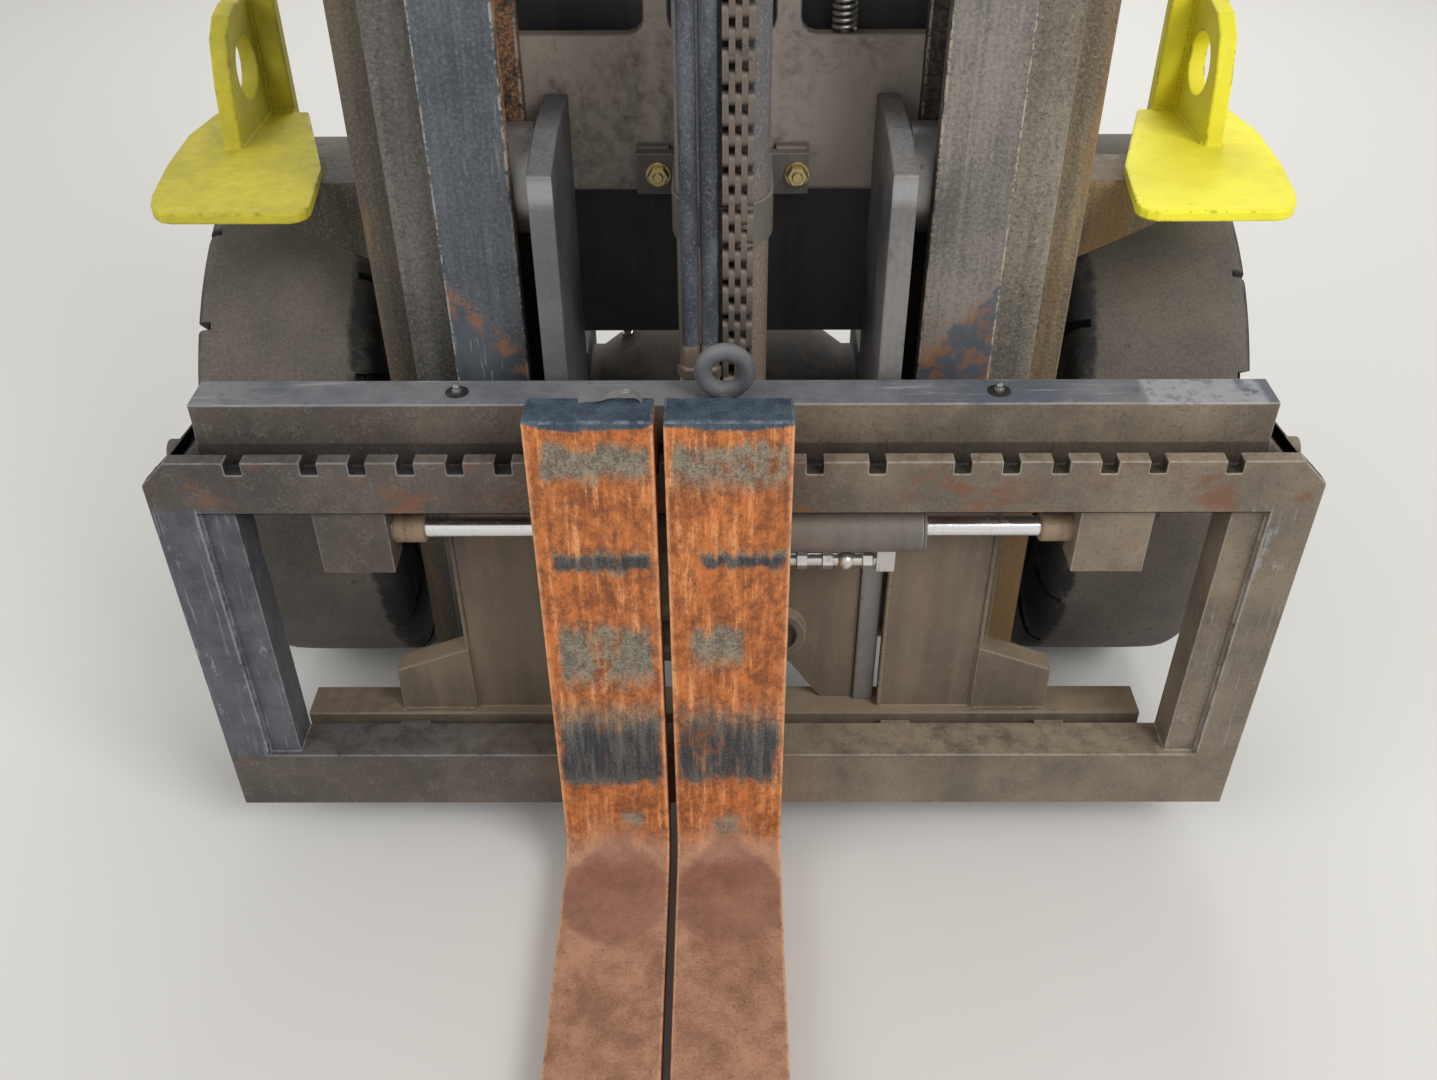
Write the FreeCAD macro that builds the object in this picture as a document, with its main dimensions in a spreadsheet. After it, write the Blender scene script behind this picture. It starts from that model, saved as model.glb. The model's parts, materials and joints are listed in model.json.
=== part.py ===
import FreeCAD, Part
import math
import os
import re
import Sketcher

# The front end of a counterbalance forklift: drive axle on two wheels, a three stage
# mast that tilts about the axle, and a side shifting carriage with two forks.
# Millimetres. X runs to the right of a viewer who stands in front of the forks, Y runs
# back into the truck, Z is up. The origin is on the floor, under the middle of the part.

Vector = FreeCAD.Vector
Rotation = FreeCAD.Rotation

# Every size that can be set by itself.
SIZES = {
    # forks, ISO class 3A hooks
    "fork_width": 125, "fork_thick": 45, "fork_long": 1200, "fork_tip": 12,
    "fork_flat": 500, "tip_corner": 34, "fork_gap": 10, "fork_pair": 71.5,
    "fork_rise": 77, "heel_inside": 28, "heel_outside": 45, "fork_play": 0.3,
    "hook_thick": 17, "hook_drop": 18, "hook_rise": 26, "hook_slope": 24, "foot_hook": 22,
    "foot_rise": 14, "foot_thick": 17,
    # lower retaining hooks of the side shifter, and the lip that they run behind
    "hook_in": 202, "hook_out": 392, "hook_wide": 36, "hook_play": 6, "hook_tooth": 14,
    "hook_under": 30, "web_deep": 26, "web_tall": 24,
    # bars that the forks hang on, and the frame round them
    "bar_floor": 76, "bar_span": 508, "upper_tall": 64, "lower_tall": 85, "lip_thick": 17,
    "groove_wide": 23, "groove_deep": 30, "lower_deep": 54, "lower_lip": 20,
    "frame_half": 603, "post_wide": 48, "post_inner": 36, "post_recess": 8,
    "frame_corner": 28, "notch_wide": 17, "notch_deep": 15,
    "beam_half": 552, "beam_deep": 48, "beam_rise": 44, "beam_web": 26,
    "stub_radius": 13, "stub_long": 36,
    "tab_in": 363, "tab_wide": 77, "tab_front": 8, "tab_deep": 42, "tab_drop": 84,
    "side_shift": 10,
    # side shift cylinder
    "shift_setback": 36, "shift_drop": 107, "shift_barrel": 28, "shift_half": 203,
    "barrel_at": 9,
    "shift_rod": 11, "rod_fit": 0.05, "rod_end": 16, "rod_end_long": 33,
    "saddle_wide": 30, "saddle_at": 155, "shift_pipe": 7, "pipe_drop": 49,
    # carriage behind the side shifter
    "carriage_half": 516, "carriage_back": 71, "carriage_deep": 48, "carriage_low": 82,
    "carriage_drop": 3, "plate_in": 192, "plate_out": 306, "plate_back": 84,
    "plate_thick": 25, "foot_out": 398, "foot_high": 100, "foot_end": 65,
    "cheek_in": 161, "cheek_thick": 25, "cheek_front": 95, "cheek_deep": 180,
    "cheek_top": 786, "cheek_slope": 75, "cheek_fall": 17, "centre_back": 100, "centre_thick": 12,
    "centre_tall": 245, "arch_half": 120, "arch_rise": 60, "boss_radius": 36,
    "boss_bore": 25, "boss_thick": 14, "boss_at": 62, "boss_high": 198,
    "carriage_roll_low": 160, "carriage_roll_high": 720,
    # mast rails, three nested stages, each one step behind the last
    "rail_back": 134, "rail_deep": 156, "rail_flange": 22, "rail_clear": 6, "web_thick": 16,
    "inner_in": 208, "inner_out": 286, "inner_web": 238,
    "mid_in": 262, "mid_out": 337, "mid_web": 296,
    "outer_in": 320, "outer_out": 375,
    "inner_foot": 185, "mid_foot": 180, "outer_foot": 165, "mast_top": 2150,
    "outer_drop": 40, "roller_play": 0.3, "roller_side": 4, "roller_pin": 20,
    "cross_thick": 16, "outer_cross": 20, "low_roll": 60, "high_roll": 60,
    # free lift cylinder, its crosshead, chain and hoses
    "free_barrel": 47.5, "free_rod": 27.5, "free_foot": 225, "free_top": 1290,
    "sheave_high": 1400, "chain_line": 65, "chain_thick": 14, "chain_wide": 30,
    "hose_radius": 9, "hose_one": 13, "hose_two": 33, "chain_tail": 790,
    "anchor_tall": 40, "sheave_pin": 12, "strap_thick": 4, "strap_low": 755,
    "strap_tall": 45, "strap_half": 92, "strap_ear": 14, "strap_stand": 10, "yoke_cheek": 12,
    # main lift cylinders
    "lift_at": 340, "lift_back": 400, "lift_barrel": 32, "lift_rod": 22.5,
    "lift_foot": 445, "lift_top": 1900, "rod_show": 170, "ear_tall": 40, "shelf_tall": 30,
    # lifting lugs on the outer rails
    "lug_in": 421, "lug_front": 160, "lug_rear": 455, "lug_out": 611, "lug_high": 780,
    "lug_thick": 12, "eye_inset": 75, "eye_thick": 20, "eye_front": 334, "eye_tall": 136,
    "eye_hole": 34, "eye_back": 408, "eye_high": 68, "lug_wall": 18, "wall_wide": 48,
    "arm_out": 476, "arm_deep": 80, "arm_thick": 25, "arm_web": 20,
    # tilt eyes on the middle cross plate
    "ear_at": 270, "ear_thick": 30, "ear_round": 36, "ear_back": 470, "tilt_pin": 16,
    "tilt_high": 960,
    # cross plates: where each starts and how tall it is
    "plate_foot": 10, "inner_low_tall": 135, "mid_low_tall": 120, "outer_low_tall": 85,
    "inner_waist": 752, "inner_waist_tall": 165, "inner_chest": 1350, "inner_chest_tall": 130,
    "pillar_in": 55, "pillar_out": 81, "pillar_flare": 16,
    "inner_head": 140, "mid_waist": 560, "mid_waist_tall": 180, "mid_chest": 1180,
    "mid_chest_tall": 120, "mid_head": 100, "outer_chest": 1320, "outer_chest_tall": 110,
    "head_tall": 150, "tilt_below": 140, "tilt_above": 40,
    # drive axle
    "axle_setback": 505, "axle_tube": 75, "axle_bulge": 125, "bulge_half": 95,
    "tube_in": 165, "spindle": 45, "spindle_end": 566, "tube_end": 394,
    "casing_radius": 120, "casing_long": 190, "nose_radius": 66, "nose_long": 50,
    "flange_radius": 75, "flange_thick": 14, "drive_bolts": 55, "drive_hole": 6,
    "pad_in": 180, "pad_out": 290, "pad_half": 60, "pad_high": 458,
    "pad_span_x": 70, "pad_span_y": 80, "pad_hole": 11, "pad_depth": 40,
    "bearing_in": 331, "bearing_out": 371, "bearing_radius": 110, "bearing_fit": 0.1,
    "plate_radius": 165, "backing_thick": 14,
    # wheels
    "tyre_radius": 353.5, "tyre_wide": 218, "wheel_at": 506, "bead_radius": 193,
    "rim_wall": 8, "rim_half": 98, "rim_lip": 14, "disc_at": 20, "disc_thick": 14,
    "disc_hole": 62, "hub_flange": 135, "hub_radius": 65, "hub_cap": 50, "hub_in": 62, "hub_out": 66,
    "cap_out": 84,
    "drum_radius": 165, "drum_wall": 12, "drum_end": 106, "bearing_play": 0.05,
    "nut_circle": 113, "nut_radius": 14, "nut_tall": 20, "hand_hole": 17, "hand_at": 158,
    "lug_cut": 12, "lug_cut_deep": 22, "lug_cut_long": 34,
}

# Places that follow from those sizes. The bars' front face is where the whole part,
# from the forks' tips to the back of the tyres, is centred on the origin.
PLACES = {
    "face": "(fork_thick + fork_play + fork_long - axle_setback - tyre_radius) / 2",
    "bar_top": "bar_floor + bar_span",
    "groove_back": "lip_thick + groove_wide",
    "beam_top": "bar_top + beam_rise",
    "beam_rear": "groove_back + beam_deep",
    "axle_y": "face + axle_setback",
    "stage_step": "rail_flange + rail_clear",
    "roller": "rail_deep / 2 - rail_flange - roller_play",
    "rail_y": "face + rail_back",
    "inner_y": "rail_y + rail_deep / 2",
    "mid_y": "inner_y + stage_step",
    "outer_y": "mid_y + stage_step",
    "inner_rear": "rail_y + rail_deep",
    "mid_rear": "inner_rear + stage_step",
    "outer_rear": "mid_rear + stage_step",
    "outer_web": "outer_out - web_thick",
    "free_y": "rail_y + rail_deep / 2 - 36",
    "shift_y": "face + shift_setback",
    "shift_z": "bar_top - shift_drop - upper_tall + 64",
    "carriage_y": "face + carriage_back",
    "carriage_rear": "carriage_y + carriage_deep",
    "carriage_top": "bar_top - carriage_drop",
    "lower_top": "bar_floor + lower_tall",
    "cheek_y": "face + cheek_front",
    "cheek_out": "cheek_in + cheek_thick",
    "lift_y": "face + lift_back",
    "lift_reach": "lift_top + rod_show",
    "tooth_y": "carriage_y + web_deep + hook_play",
    "arm_top": "lug_high - lug_thick",
    "eye_at": "lug_out - eye_inset",
    "outer_top": "mast_top - outer_drop",
    "pair_x": "side_shift - fork_pair",
}

SIDES = (("left", -1), ("right", 1))

doc = FreeCAD.newDocument("ForkliftFrontEnd")
sheet = doc.addObject("Spreadsheet::Sheet", "Sizes")
for row, (word, number) in enumerate(SIZES.items(), 1):
    sheet.set("A%d" % row, word)
    sheet.set("B%d" % row, str(number))
    sheet.setAlias("B%d" % row, word)
doc.recompute()
nodes = {}


def bind(text):
    """Writes a place or size as an expression on the sheet's cells."""
    def swap(match):
        word = match.group(0)
        if word in PLACES:
            return "(" + bind(PLACES[word]) + ")"
        return "Sizes." + word if word in SIZES else word
    return re.sub(r"[a-z][a-z_]*", swap, text)


def pair(sign, low, high):
    """The X span of a piece on the right, or the same span mirrored to the left."""
    return (low, high) if sign > 0 else ("-(" + high + ")", "-(" + low + ")")


def side(sign, place):
    return place if sign > 0 else "-(" + place + ")"


def block(x, y, z):
    """A box between two places along each axis."""
    box = doc.addObject("Part::Box", "Block")
    for length, axis, (low, high) in (("Length", "x", x), ("Width", "y", y), ("Height", "z", z)):
        box.setExpression(length, bind("(%s) - (%s)" % (high, low)))
        box.setExpression("Placement.Base." + axis, bind(low))
    return box


def bar(axis, across, radius, ends):
    """A round bar along an axis, through a point given on the other two."""
    turn = {"x": Rotation(Vector(0, 1, 0), 90), "y": Rotation(Vector(1, 0, 0), -90), "z": Rotation()}
    cylinder = doc.addObject("Part::Cylinder", "Bar")
    cylinder.Placement = FreeCAD.Placement(Vector(), turn[axis])
    cylinder.setExpression("Radius", bind(radius))
    cylinder.setExpression("Height", bind("(%s) - (%s)" % (ends[1], ends[0])))
    others = [letter for letter in "xyz" if letter != axis]
    for letter, place in zip(others + [axis], list(across) + [ends[0]]):
        cylinder.setExpression("Placement.Base." + letter, bind(place))
    return cylinder


def joined(*parts):
    whole = doc.addObject("Part::MultiFuse", "Joined")
    whole.Shapes = list(parts)
    whole.Refine = True
    return whole


def apart(*parts):
    """Pieces of one kind that share a node and don't touch."""
    group = doc.addObject("Part::Compound", "Apart")
    group.Links = list(parts)
    return group


def cut(base, *tools):
    result = doc.addObject("Part::Cut", "Cut")
    result.Base = base
    result.Tool = tools[0] if len(tools) == 1 else joined(*tools)
    return result


def node(name, piece):
    piece.Label = name
    nodes[name] = piece
    return piece


def origin_plane(body, role):
    return next(feature for feature in body.Origin.OriginFeatures if feature.Role == role)


def outline(body, role, offset, points):
    """A closed outline of straight edges, each corner bound to the sheet."""
    sketch = body.newObject("Sketcher::SketchObject", "Outline")
    sketch.AttachmentSupport = [(origin_plane(body, role), "")]
    sketch.MapMode = "FlatFace"
    sketch.setExpression("AttachmentOffset.Base.z", bind(offset))
    count = len(points)
    ring = [Vector(100 * math.cos(2 * math.pi * i / count), 100 * math.sin(2 * math.pi * i / count), 0)
            for i in range(count)]
    for i in range(count):
        sketch.addGeometry(Part.LineSegment(ring[i], ring[(i + 1) % count]), False)
    for i in range(count):
        sketch.addConstraint(Sketcher.Constraint("Coincident", i, 2, (i + 1) % count, 1))
    for i, place in enumerate(points):
        for kind, start, text in zip(("DistanceX", "DistanceY"), (ring[i].x, ring[i].y), place):
            number = sketch.addConstraint(Sketcher.Constraint(kind, -1, 1, i, 1, start))
            sketch.setExpression("Constraints[%d]" % number, bind(text))
    return sketch


def slab(role, ends, points):
    """A plate with the outline given on one of the main planes, between two places."""
    body = doc.addObject("PartDesign::Body", "Slab")
    offset = "-(" + ends[1] + ")" if role == "XZ_Plane" else ends[0]
    pad = body.newObject("PartDesign::Pad", "Pad")
    pad.Profile = outline(body, role, offset, points)
    pad.setExpression("Length", bind("(%s) - (%s)" % (ends[1], ends[0])))
    return body


def turned(points, sign, x, y, z):
    """A body turned about its own X axis from (x, radius) corners, then set in place."""
    body = doc.addObject("PartDesign::Body", "Turned")
    sketch = outline(body, "XY_Plane", "0", points)
    spin = body.newObject("PartDesign::Revolution", "Revolution")
    spin.Profile = sketch
    spin.ReferenceAxis = (sketch, ["H_Axis"])
    spin.Angle = 360
    if sign < 0:
        body.Placement = FreeCAD.Placement(Vector(), Rotation(Vector(0, 0, 1), 180))
    for axis, place in (("x", x), ("y", y), ("z", z)):
        body.setExpression("Placement.Base." + axis, bind(place))
    return body


def rounded(body, corners, radius):
    """Rounds the edges along X that pass through the given (y, z) corners."""
    doc.recompute()
    base = body.Tip
    names = []
    for number, edge in enumerate(base.Shape.Edges, 1):
        ends = [vertex.Point for vertex in edge.Vertexes]
        if len(ends) == 2 and abs(ends[0].x - ends[1].x) > 1:
            if any(all(abs(p.y - y) < 0.1 and abs(p.z - z) < 0.1 for p in ends) for y, z in corners):
                names.append("Edge%d" % number)
    fillet = body.newObject("PartDesign::Fillet", "Fillet")
    fillet.Base = (base, names)
    fillet.setExpression("Radius", bind(radius))
    return fillet


# Forks: a flat blade and an upright shank in one, with two hooks welded to its back that
# hang it on the upper bar and keep it behind the lower one.
def fork(name, low):
    back = "face - fork_play"
    behind = "face + lip_thick + fork_play"
    tooth = "face + lower_lip + fork_play"
    wide = (low, low + " + fork_width")
    upper = slab("YZ_Plane", wide, (
        (back, "bar_top + fork_play"), (behind, "bar_top + fork_play"), (behind, "bar_top - hook_drop"),
        (behind + " + hook_thick", "bar_top - hook_drop"), (behind + " + hook_thick", "bar_top + hook_rise"),
        (back, "bar_top + hook_rise + hook_slope")))
    lower = slab("YZ_Plane", wide, (
        (back, "bar_floor - foot_hook"), (tooth + " + foot_thick", "bar_floor - foot_hook"),
        (tooth + " + foot_thick", "bar_floor + foot_rise"), (tooth, "bar_floor + foot_rise"),
        (tooth, "bar_floor - fork_play"), (back, "bar_floor - fork_play")))
    node("fork_hooks_" + name, apart(upper, lower))
    points = (
        (back, "0"),
        (back, "bar_top + fork_rise"),
        (back + " - fork_thick", "bar_top + fork_rise"),
        (back + " - fork_thick", "fork_thick"),
        (back + " - fork_thick - fork_flat", "fork_thick"),
        (back + " - fork_thick - fork_long", "fork_tip"),
        (back + " - fork_thick - fork_long", "0"),
    )
    body = slab("YZ_Plane", wide, points)
    doc.recompute()
    box = body.Shape.BoundBox
    heel = box.YMin + sheet.fork_long
    rounded(body, [(heel, sheet.fork_thick)], "heel_inside")
    rounded(body, [(heel + sheet.fork_thick, 0)], "heel_outside")
    doc.recompute()
    base = body.Tip
    tips = ["Edge%d" % number for number, edge in enumerate(base.Shape.Edges, 1)
            if abs(edge.CenterOfMass.y - box.YMin) < 0.01 and edge.BoundBox.ZLength > sheet.fork_tip / 2]
    corner = body.newObject("PartDesign::Chamfer", "Corner")
    corner.Base = (base, tips)
    corner.setExpression("Size", bind("tip_corner"))
    node("fork_" + name, body)


fork("left", "pair_x - fork_gap / 2 - fork_width")
fork("right", "pair_x + fork_gap / 2")


# Side shifter: notched upper bar with the hooking groove behind its lip, the beam that
# slides on the carriage, the lower bar, two posts at each end and the cylinder's tabs.
def shift_frame():
    centre = "side_shift"
    left = centre + " - frame_half"
    right = centre + " + frame_half"
    under = "bar_top - upper_tall"
    lip = slab("XZ_Plane", ("face", "face + lip_thick"), (
        (left, under), (right, under), (right, "bar_top - frame_corner"),
        (right + " - frame_corner", "bar_top"), (left + " + frame_corner", "bar_top"),
        (left, "bar_top - frame_corner")))
    pieces = [
        lip,
        block((left, right), ("face + lip_thick", "face + groove_back"), (under, "bar_top - groove_deep")),
        block((centre + " - beam_half", centre + " + beam_half"),
              ("face + groove_back", "face + groove_back + beam_web"), (under, "beam_top")),
        block((centre + " - beam_half", centre + " + beam_half"),
              ("face + groove_back", "face + beam_rear"), ("carriage_top + fork_play + 5", "beam_top")),
        block((left, right), ("face", "face + lower_lip"), ("bar_floor", "lower_top")),
        block((left, right), ("face + lower_lip", "face + lower_deep"), ("bar_floor + lower_lip", "lower_top")),
    ]
    for _, sign in SIDES:
        post = pair(sign, "frame_half - post_wide", "frame_half")
        inner = pair(sign, "frame_half - post_wide - post_inner", "frame_half - post_wide")
        tab = pair(sign, "tab_in", "tab_in + tab_wide")
        stub = pair(sign, "beam_half", "beam_half + stub_long")
        pieces += [
            block([centre + " + " + x for x in post], ("face", "face + lower_deep"), ("lower_top", under)),
            block([centre + " + " + x for x in inner],
                  ("face + post_recess", "face + lower_deep"), ("lower_top", under)),
            block([centre + " + " + x for x in tab],
                  ("face + tab_front", "face + tab_front + tab_deep"), (under + " - tab_drop", under)),
            bar("x", ("face + groove_back + beam_web / 2", under + " + beam_rise"), "stub_radius",
                [centre + " + " + x for x in stub]),
        ]
    return pieces


# Notch places along the upper bar, each side of its middle.
NOTCHES = (83, 146, 232, 281, 331, 380, 429, 506)
notches = []
for at in NOTCHES:
    for _, sign in SIDES:
        middle = "side_shift + (%d)" % (sign * at)
        notches.append(block((middle + " - notch_wide / 2", middle + " + notch_wide / 2"),
                             ("face - 1", "face + lip_thick + 1"), ("bar_top - notch_deep", "bar_top + 1")))
node("shift_frame", cut(joined(*shift_frame()), *notches))

# Lower retaining hooks: each reaches back under the carriage's lower bar, and its tooth
# runs behind the bar's lip.
hooks = []
for _, sign in SIDES:
    for at in ("hook_in", "hook_out"):
        low = "side_shift + (%d) * %s - hook_wide / 2" % (sign, at)
        hooks.append(slab("YZ_Plane", (low, low + " + hook_wide"), (
            ("face + lower_deep", "bar_floor - hook_under"), ("tooth_y + hook_tooth", "bar_floor - hook_under"),
            ("tooth_y + hook_tooth", "bar_floor + foot_rise"), ("tooth_y", "bar_floor + foot_rise"),
            ("tooth_y", "bar_floor - hook_play"), ("carriage_y - hook_play", "bar_floor - hook_play"),
            ("carriage_y - hook_play", "lower_top - hook_play"),
            ("face + lower_deep", "lower_top - hook_play"))))
node("lower_hooks", apart(*hooks))

# Lifting eye on the beam.
ring = doc.addObject("Part::Torus", "Ring")
ring.Radius1 = 22
ring.Radius2 = 9
ring.Placement = FreeCAD.Placement(Vector(), Rotation(Vector(1, 0, 0), 90))
ring.setExpression("Placement.Base.x", bind("side_shift - 8"))
ring.setExpression("Placement.Base.y", bind("face + groove_back + 10"))
ring.setExpression("Placement.Base.z", bind("beam_top + 32"))
stem = bar("z", ("side_shift - 8", "face + groove_back + 10"), "10", ("beam_top", "beam_top + 10"))
node("lifting_eye", joined(ring, stem))

# Side shift rod, held by the tabs, with a collar at each end.
node("shift_rod", joined(
    bar("x", ("shift_y", "shift_z"), "shift_rod", ("side_shift - tab_in", "side_shift + tab_in")),
    bar("x", ("shift_y", "shift_z"), "rod_end", ("side_shift - tab_in", "side_shift - tab_in + rod_end_long")),
    bar("x", ("shift_y", "shift_z"), "rod_end", ("side_shift + tab_in - rod_end_long", "side_shift + tab_in"))))

# Side shift barrel and the pipe under it.
barrel_ends = ("barrel_at - shift_half", "barrel_at + shift_half")
node("shift_cylinder", cut(
    bar("x", ("shift_y", "shift_z"), "shift_barrel", barrel_ends),
    bar("x", ("shift_y", "shift_z"), "shift_rod + rod_fit", ("barrel_at - shift_half - 1", "barrel_at + shift_half + 1"))))
pipe_z = "shift_z - pipe_drop"
node("shift_pipe", joined(
    block(("saddle_at + 12", "saddle_at + 32"), ("shift_y - 8", "shift_y + 14"),
          (pipe_z + " - 8", "shift_z - shift_barrel + 1")),
    bar("x", ("shift_y + 4", pipe_z), "shift_pipe", ("boss_at", "saddle_at + 14")),
    bar("y", ("boss_at", pipe_z), "shift_pipe", ("shift_y + 4", "face + centre_back"))))
nodes["shift_pipe"] = node("shift_pipe", cut(
    nodes["shift_pipe"], bar("x", ("shift_y", "shift_z"), "shift_barrel", barrel_ends)))

# Carriage: upper and lower bars, a broad plate with a sloped foot and a saddle for the side
# shift barrel on each side, and on top the anchors of the chain and the hoses. Between the
# broad plates stands the centre plate, with its arch and two round bosses.
carriage = [
    block(("-carriage_half", "carriage_half"), ("carriage_y", "carriage_rear"),
          ("bar_floor + web_tall", "lower_top")),
    block(("-carriage_half", "carriage_half"), ("carriage_y", "carriage_y + web_deep"),
          ("bar_floor", "bar_floor + web_tall")),
    block(("-carriage_half", "carriage_half"), ("carriage_y", "carriage_rear"),
          ("carriage_top - carriage_low", "carriage_top")),
]
for _, sign in SIDES:
    carriage += [
        block(pair(sign, "plate_in", "plate_out"), ("face + plate_back", "face + plate_back + plate_thick"),
              ("lower_top", "carriage_top - carriage_low")),
        slab("XZ_Plane", ("face + plate_back - 5", "face + plate_back + plate_thick"), (
            (side(sign, "plate_out"), "lower_top"), (side(sign, "foot_out"), "lower_top"),
            (side(sign, "foot_out"), "lower_top + foot_end"),
            (side(sign, "plate_out"), "lower_top + foot_high"))),
    ]
    carriage.append(cut(
        block(pair(sign, "saddle_at - saddle_wide / 2", "saddle_at + saddle_wide / 2"),
              ("shift_y + 9", "carriage_y"), ("carriage_top - carriage_low - 11", "bar_top - upper_tall - 6")),
        bar("x", ("shift_y", "shift_z"), "shift_barrel", barrel_ends)))
for ends in (("0", "chain_wide"), ("-hose_two - 12", "-hose_one + 10")):
    carriage.append(block(ends, ("free_y - chain_line - 12", "free_y - chain_line + chain_thick / 2"),
                          ("carriage_top", "carriage_top + anchor_tall")))
node("carriage_frame", joined(*carriage))
centre_y = ("face + centre_back", "face + centre_back + centre_thick")
centre = [slab("XZ_Plane", centre_y, (
    ("-cheek_in", "lower_top"), ("-arch_half", "lower_top"), ("-arch_half + 40", "lower_top + arch_rise"),
    ("arch_half - 40", "lower_top + arch_rise"), ("arch_half", "lower_top"), ("cheek_in", "lower_top"),
    ("cheek_in", "lower_top + centre_tall"), ("-cheek_in", "lower_top + centre_tall")))]
for _, sign in SIDES:
    spot = (side(sign, "boss_at"), "bar_floor + boss_high")
    centre.append(cut(
        bar("y", spot, "boss_radius", ("face + centre_back - boss_thick", "face + centre_back")),
        bar("y", spot, "boss_bore", ("face + centre_back - boss_thick - 1", "face + centre_back - 4"))))
node("centre_plate", joined(*centre))

# Roller cheeks: they stand up between the mast rails, with a bevelled top corner.
for name, sign in SIDES:
    node("roller_cheek_" + name, slab("YZ_Plane", pair(sign, "cheek_in", "cheek_out"), (
        ("cheek_y", "lower_top"), ("cheek_y + cheek_deep", "lower_top"),
        ("cheek_y + cheek_deep", "bar_floor + cheek_top"),
        ("cheek_y + cheek_slope", "bar_floor + cheek_top"),
        ("cheek_y", "bar_floor + cheek_top - cheek_fall"), ("cheek_y", "carriage_top"),
        ("carriage_rear", "carriage_top"), ("carriage_rear", "carriage_top - carriage_low"),
        ("cheek_y", "carriage_top - carriage_low"))))


def rollers(low, high, pin_low, pin_high, y, heights):
    """One roller on each side at every height, each with its stub pin."""
    made = []
    for _, sign in SIDES:
        for z in heights:
            made.append(joined(bar("x", (y, z), "roller", pair(sign, low, high)),
                               bar("x", (y, z), "roller_pin", pair(sign, pin_low, pin_high))))
    return apart(*made)


node("carriage_rollers", rollers("cheek_out + roller_side", "inner_web - roller_side", "cheek_out",
                                 "inner_web - roller_side", "inner_y",
                                 ("bar_floor + carriage_roll_low", "bar_floor + carriage_roll_high")))
node("inner_rollers", rollers("inner_web + web_thick + roller_side", "mid_web - roller_side",
                              "inner_web + web_thick", "mid_web - roller_side", "mid_y",
                              ("inner_foot + low_roll",)))
node("mid_rollers", apart(
    rollers("mid_web + web_thick + roller_side", "outer_web - roller_side - 2",
            "mid_web + web_thick", "outer_web - roller_side - 2", "outer_y", ("mid_foot + low_roll",)),
    rollers("inner_web + web_thick + roller_side + 2", "mid_web - roller_side",
            "inner_web + web_thick + roller_side + 2", "mid_web", "inner_y", ("mast_top - high_roll",))))
node("outer_rollers", rollers("mid_web + web_thick + roller_side + 2", "outer_web - roller_side",
                              "mid_web + web_thick + roller_side + 2", "outer_web", "mid_y",
                              ("outer_top - high_roll",)))

# Mast rails. Columns: stage, inboard edge, outboard edge, web, front face, foot, top.
STAGES = (
    ("inner", "inner_in", "inner_out", "inner_web", "rail_y", "inner_foot", "mast_top"),
    ("mid", "mid_in", "mid_out", "mid_web", "rail_y + stage_step", "mid_foot", "mast_top"),
    ("outer", "outer_in", "outer_out", "outer_web", "rail_y + 2 * stage_step", "outer_foot", "outer_top"),
)


def rail(sign, edge_in, edge_out, web, front, foot, top):
    x = [side(sign, text) for text in (edge_in, web, web + " + web_thick", edge_out)]
    y = [front, front + " + rail_flange", front + " + rail_deep - rail_flange", front + " + rail_deep"]
    if edge_out == "outer_out":
        corners = ((x[0], y[0]), (x[3], y[0]), (x[3], y[3]), (x[0], y[3]), (x[0], y[2]), (x[1], y[2]),
                   (x[1], y[1]), (x[0], y[1]))
    else:
        corners = ((x[0], y[0]), (x[3], y[0]), (x[3], y[1]), (x[2], y[1]), (x[2], y[2]), (x[3], y[2]),
                   (x[3], y[3]), (x[0], y[3]), (x[0], y[2]), (x[1], y[2]), (x[1], y[1]), (x[0], y[1]))
    return slab("XY_Plane", (foot, top), corners)


def lifting_lug(sign):
    """A pad with rounded front corners, an upright eye on it and a wall behind the eye."""
    pad = slab("XY_Plane", ("arm_top", "lug_high"), (
        (side(sign, "lug_in + 14"), "face + lug_front + 122"), (side(sign, "lug_in + 2"), "face + lug_front + 22"),
        (side(sign, "lug_in + 4"), "face + lug_front + 11"), (side(sign, "lug_in + 10"), "face + lug_front + 4"),
        (side(sign, "lug_in + 20"), "face + lug_front"),
        (side(sign, "lug_out - 50"), "face + lug_front"), (side(sign, "lug_out - 38"), "face + lug_front + 4"),
        (side(sign, "lug_out - 29"), "face + lug_front + 13"), (side(sign, "lug_out - 22"), "face + lug_front + 28"),
        (side(sign, "lug_out - 16"), "face + lug_front + 50"),
        (side(sign, "lug_out - 5"), "face + lug_front + 130"), (side(sign, "lug_out"), "face + lug_front + 220"),
        (side(sign, "lug_out - 11"), "face + lug_rear"), (side(sign, "lug_in + 71"), "face + lug_rear")))
    top = "lug_high + eye_tall"
    eye = slab("YZ_Plane", pair(sign, "eye_at", "eye_at + eye_thick"), (
        ("face + eye_front", "lug_high"), ("face + lug_rear", "lug_high"), ("face + lug_rear", top),
        ("face + eye_front + 78", top), ("face + eye_front + 51", top + " - 6"),
        ("face + eye_front + 28", top + " - 24"), ("face + eye_front + 12", top + " - 70")))
    hole = bar("x", ("face + eye_back", "lug_high + eye_high"), "eye_hole",
               pair(sign, "eye_at - 1", "eye_at + eye_thick + 1"))
    wall = block(pair(sign, "eye_at + eye_thick - wall_wide", "eye_at + eye_thick"),
                 ("face + lug_rear", "face + lug_rear + lug_wall"), ("arm_top", top))
    return joined(pad, cut(eye, hole), wall)


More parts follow.
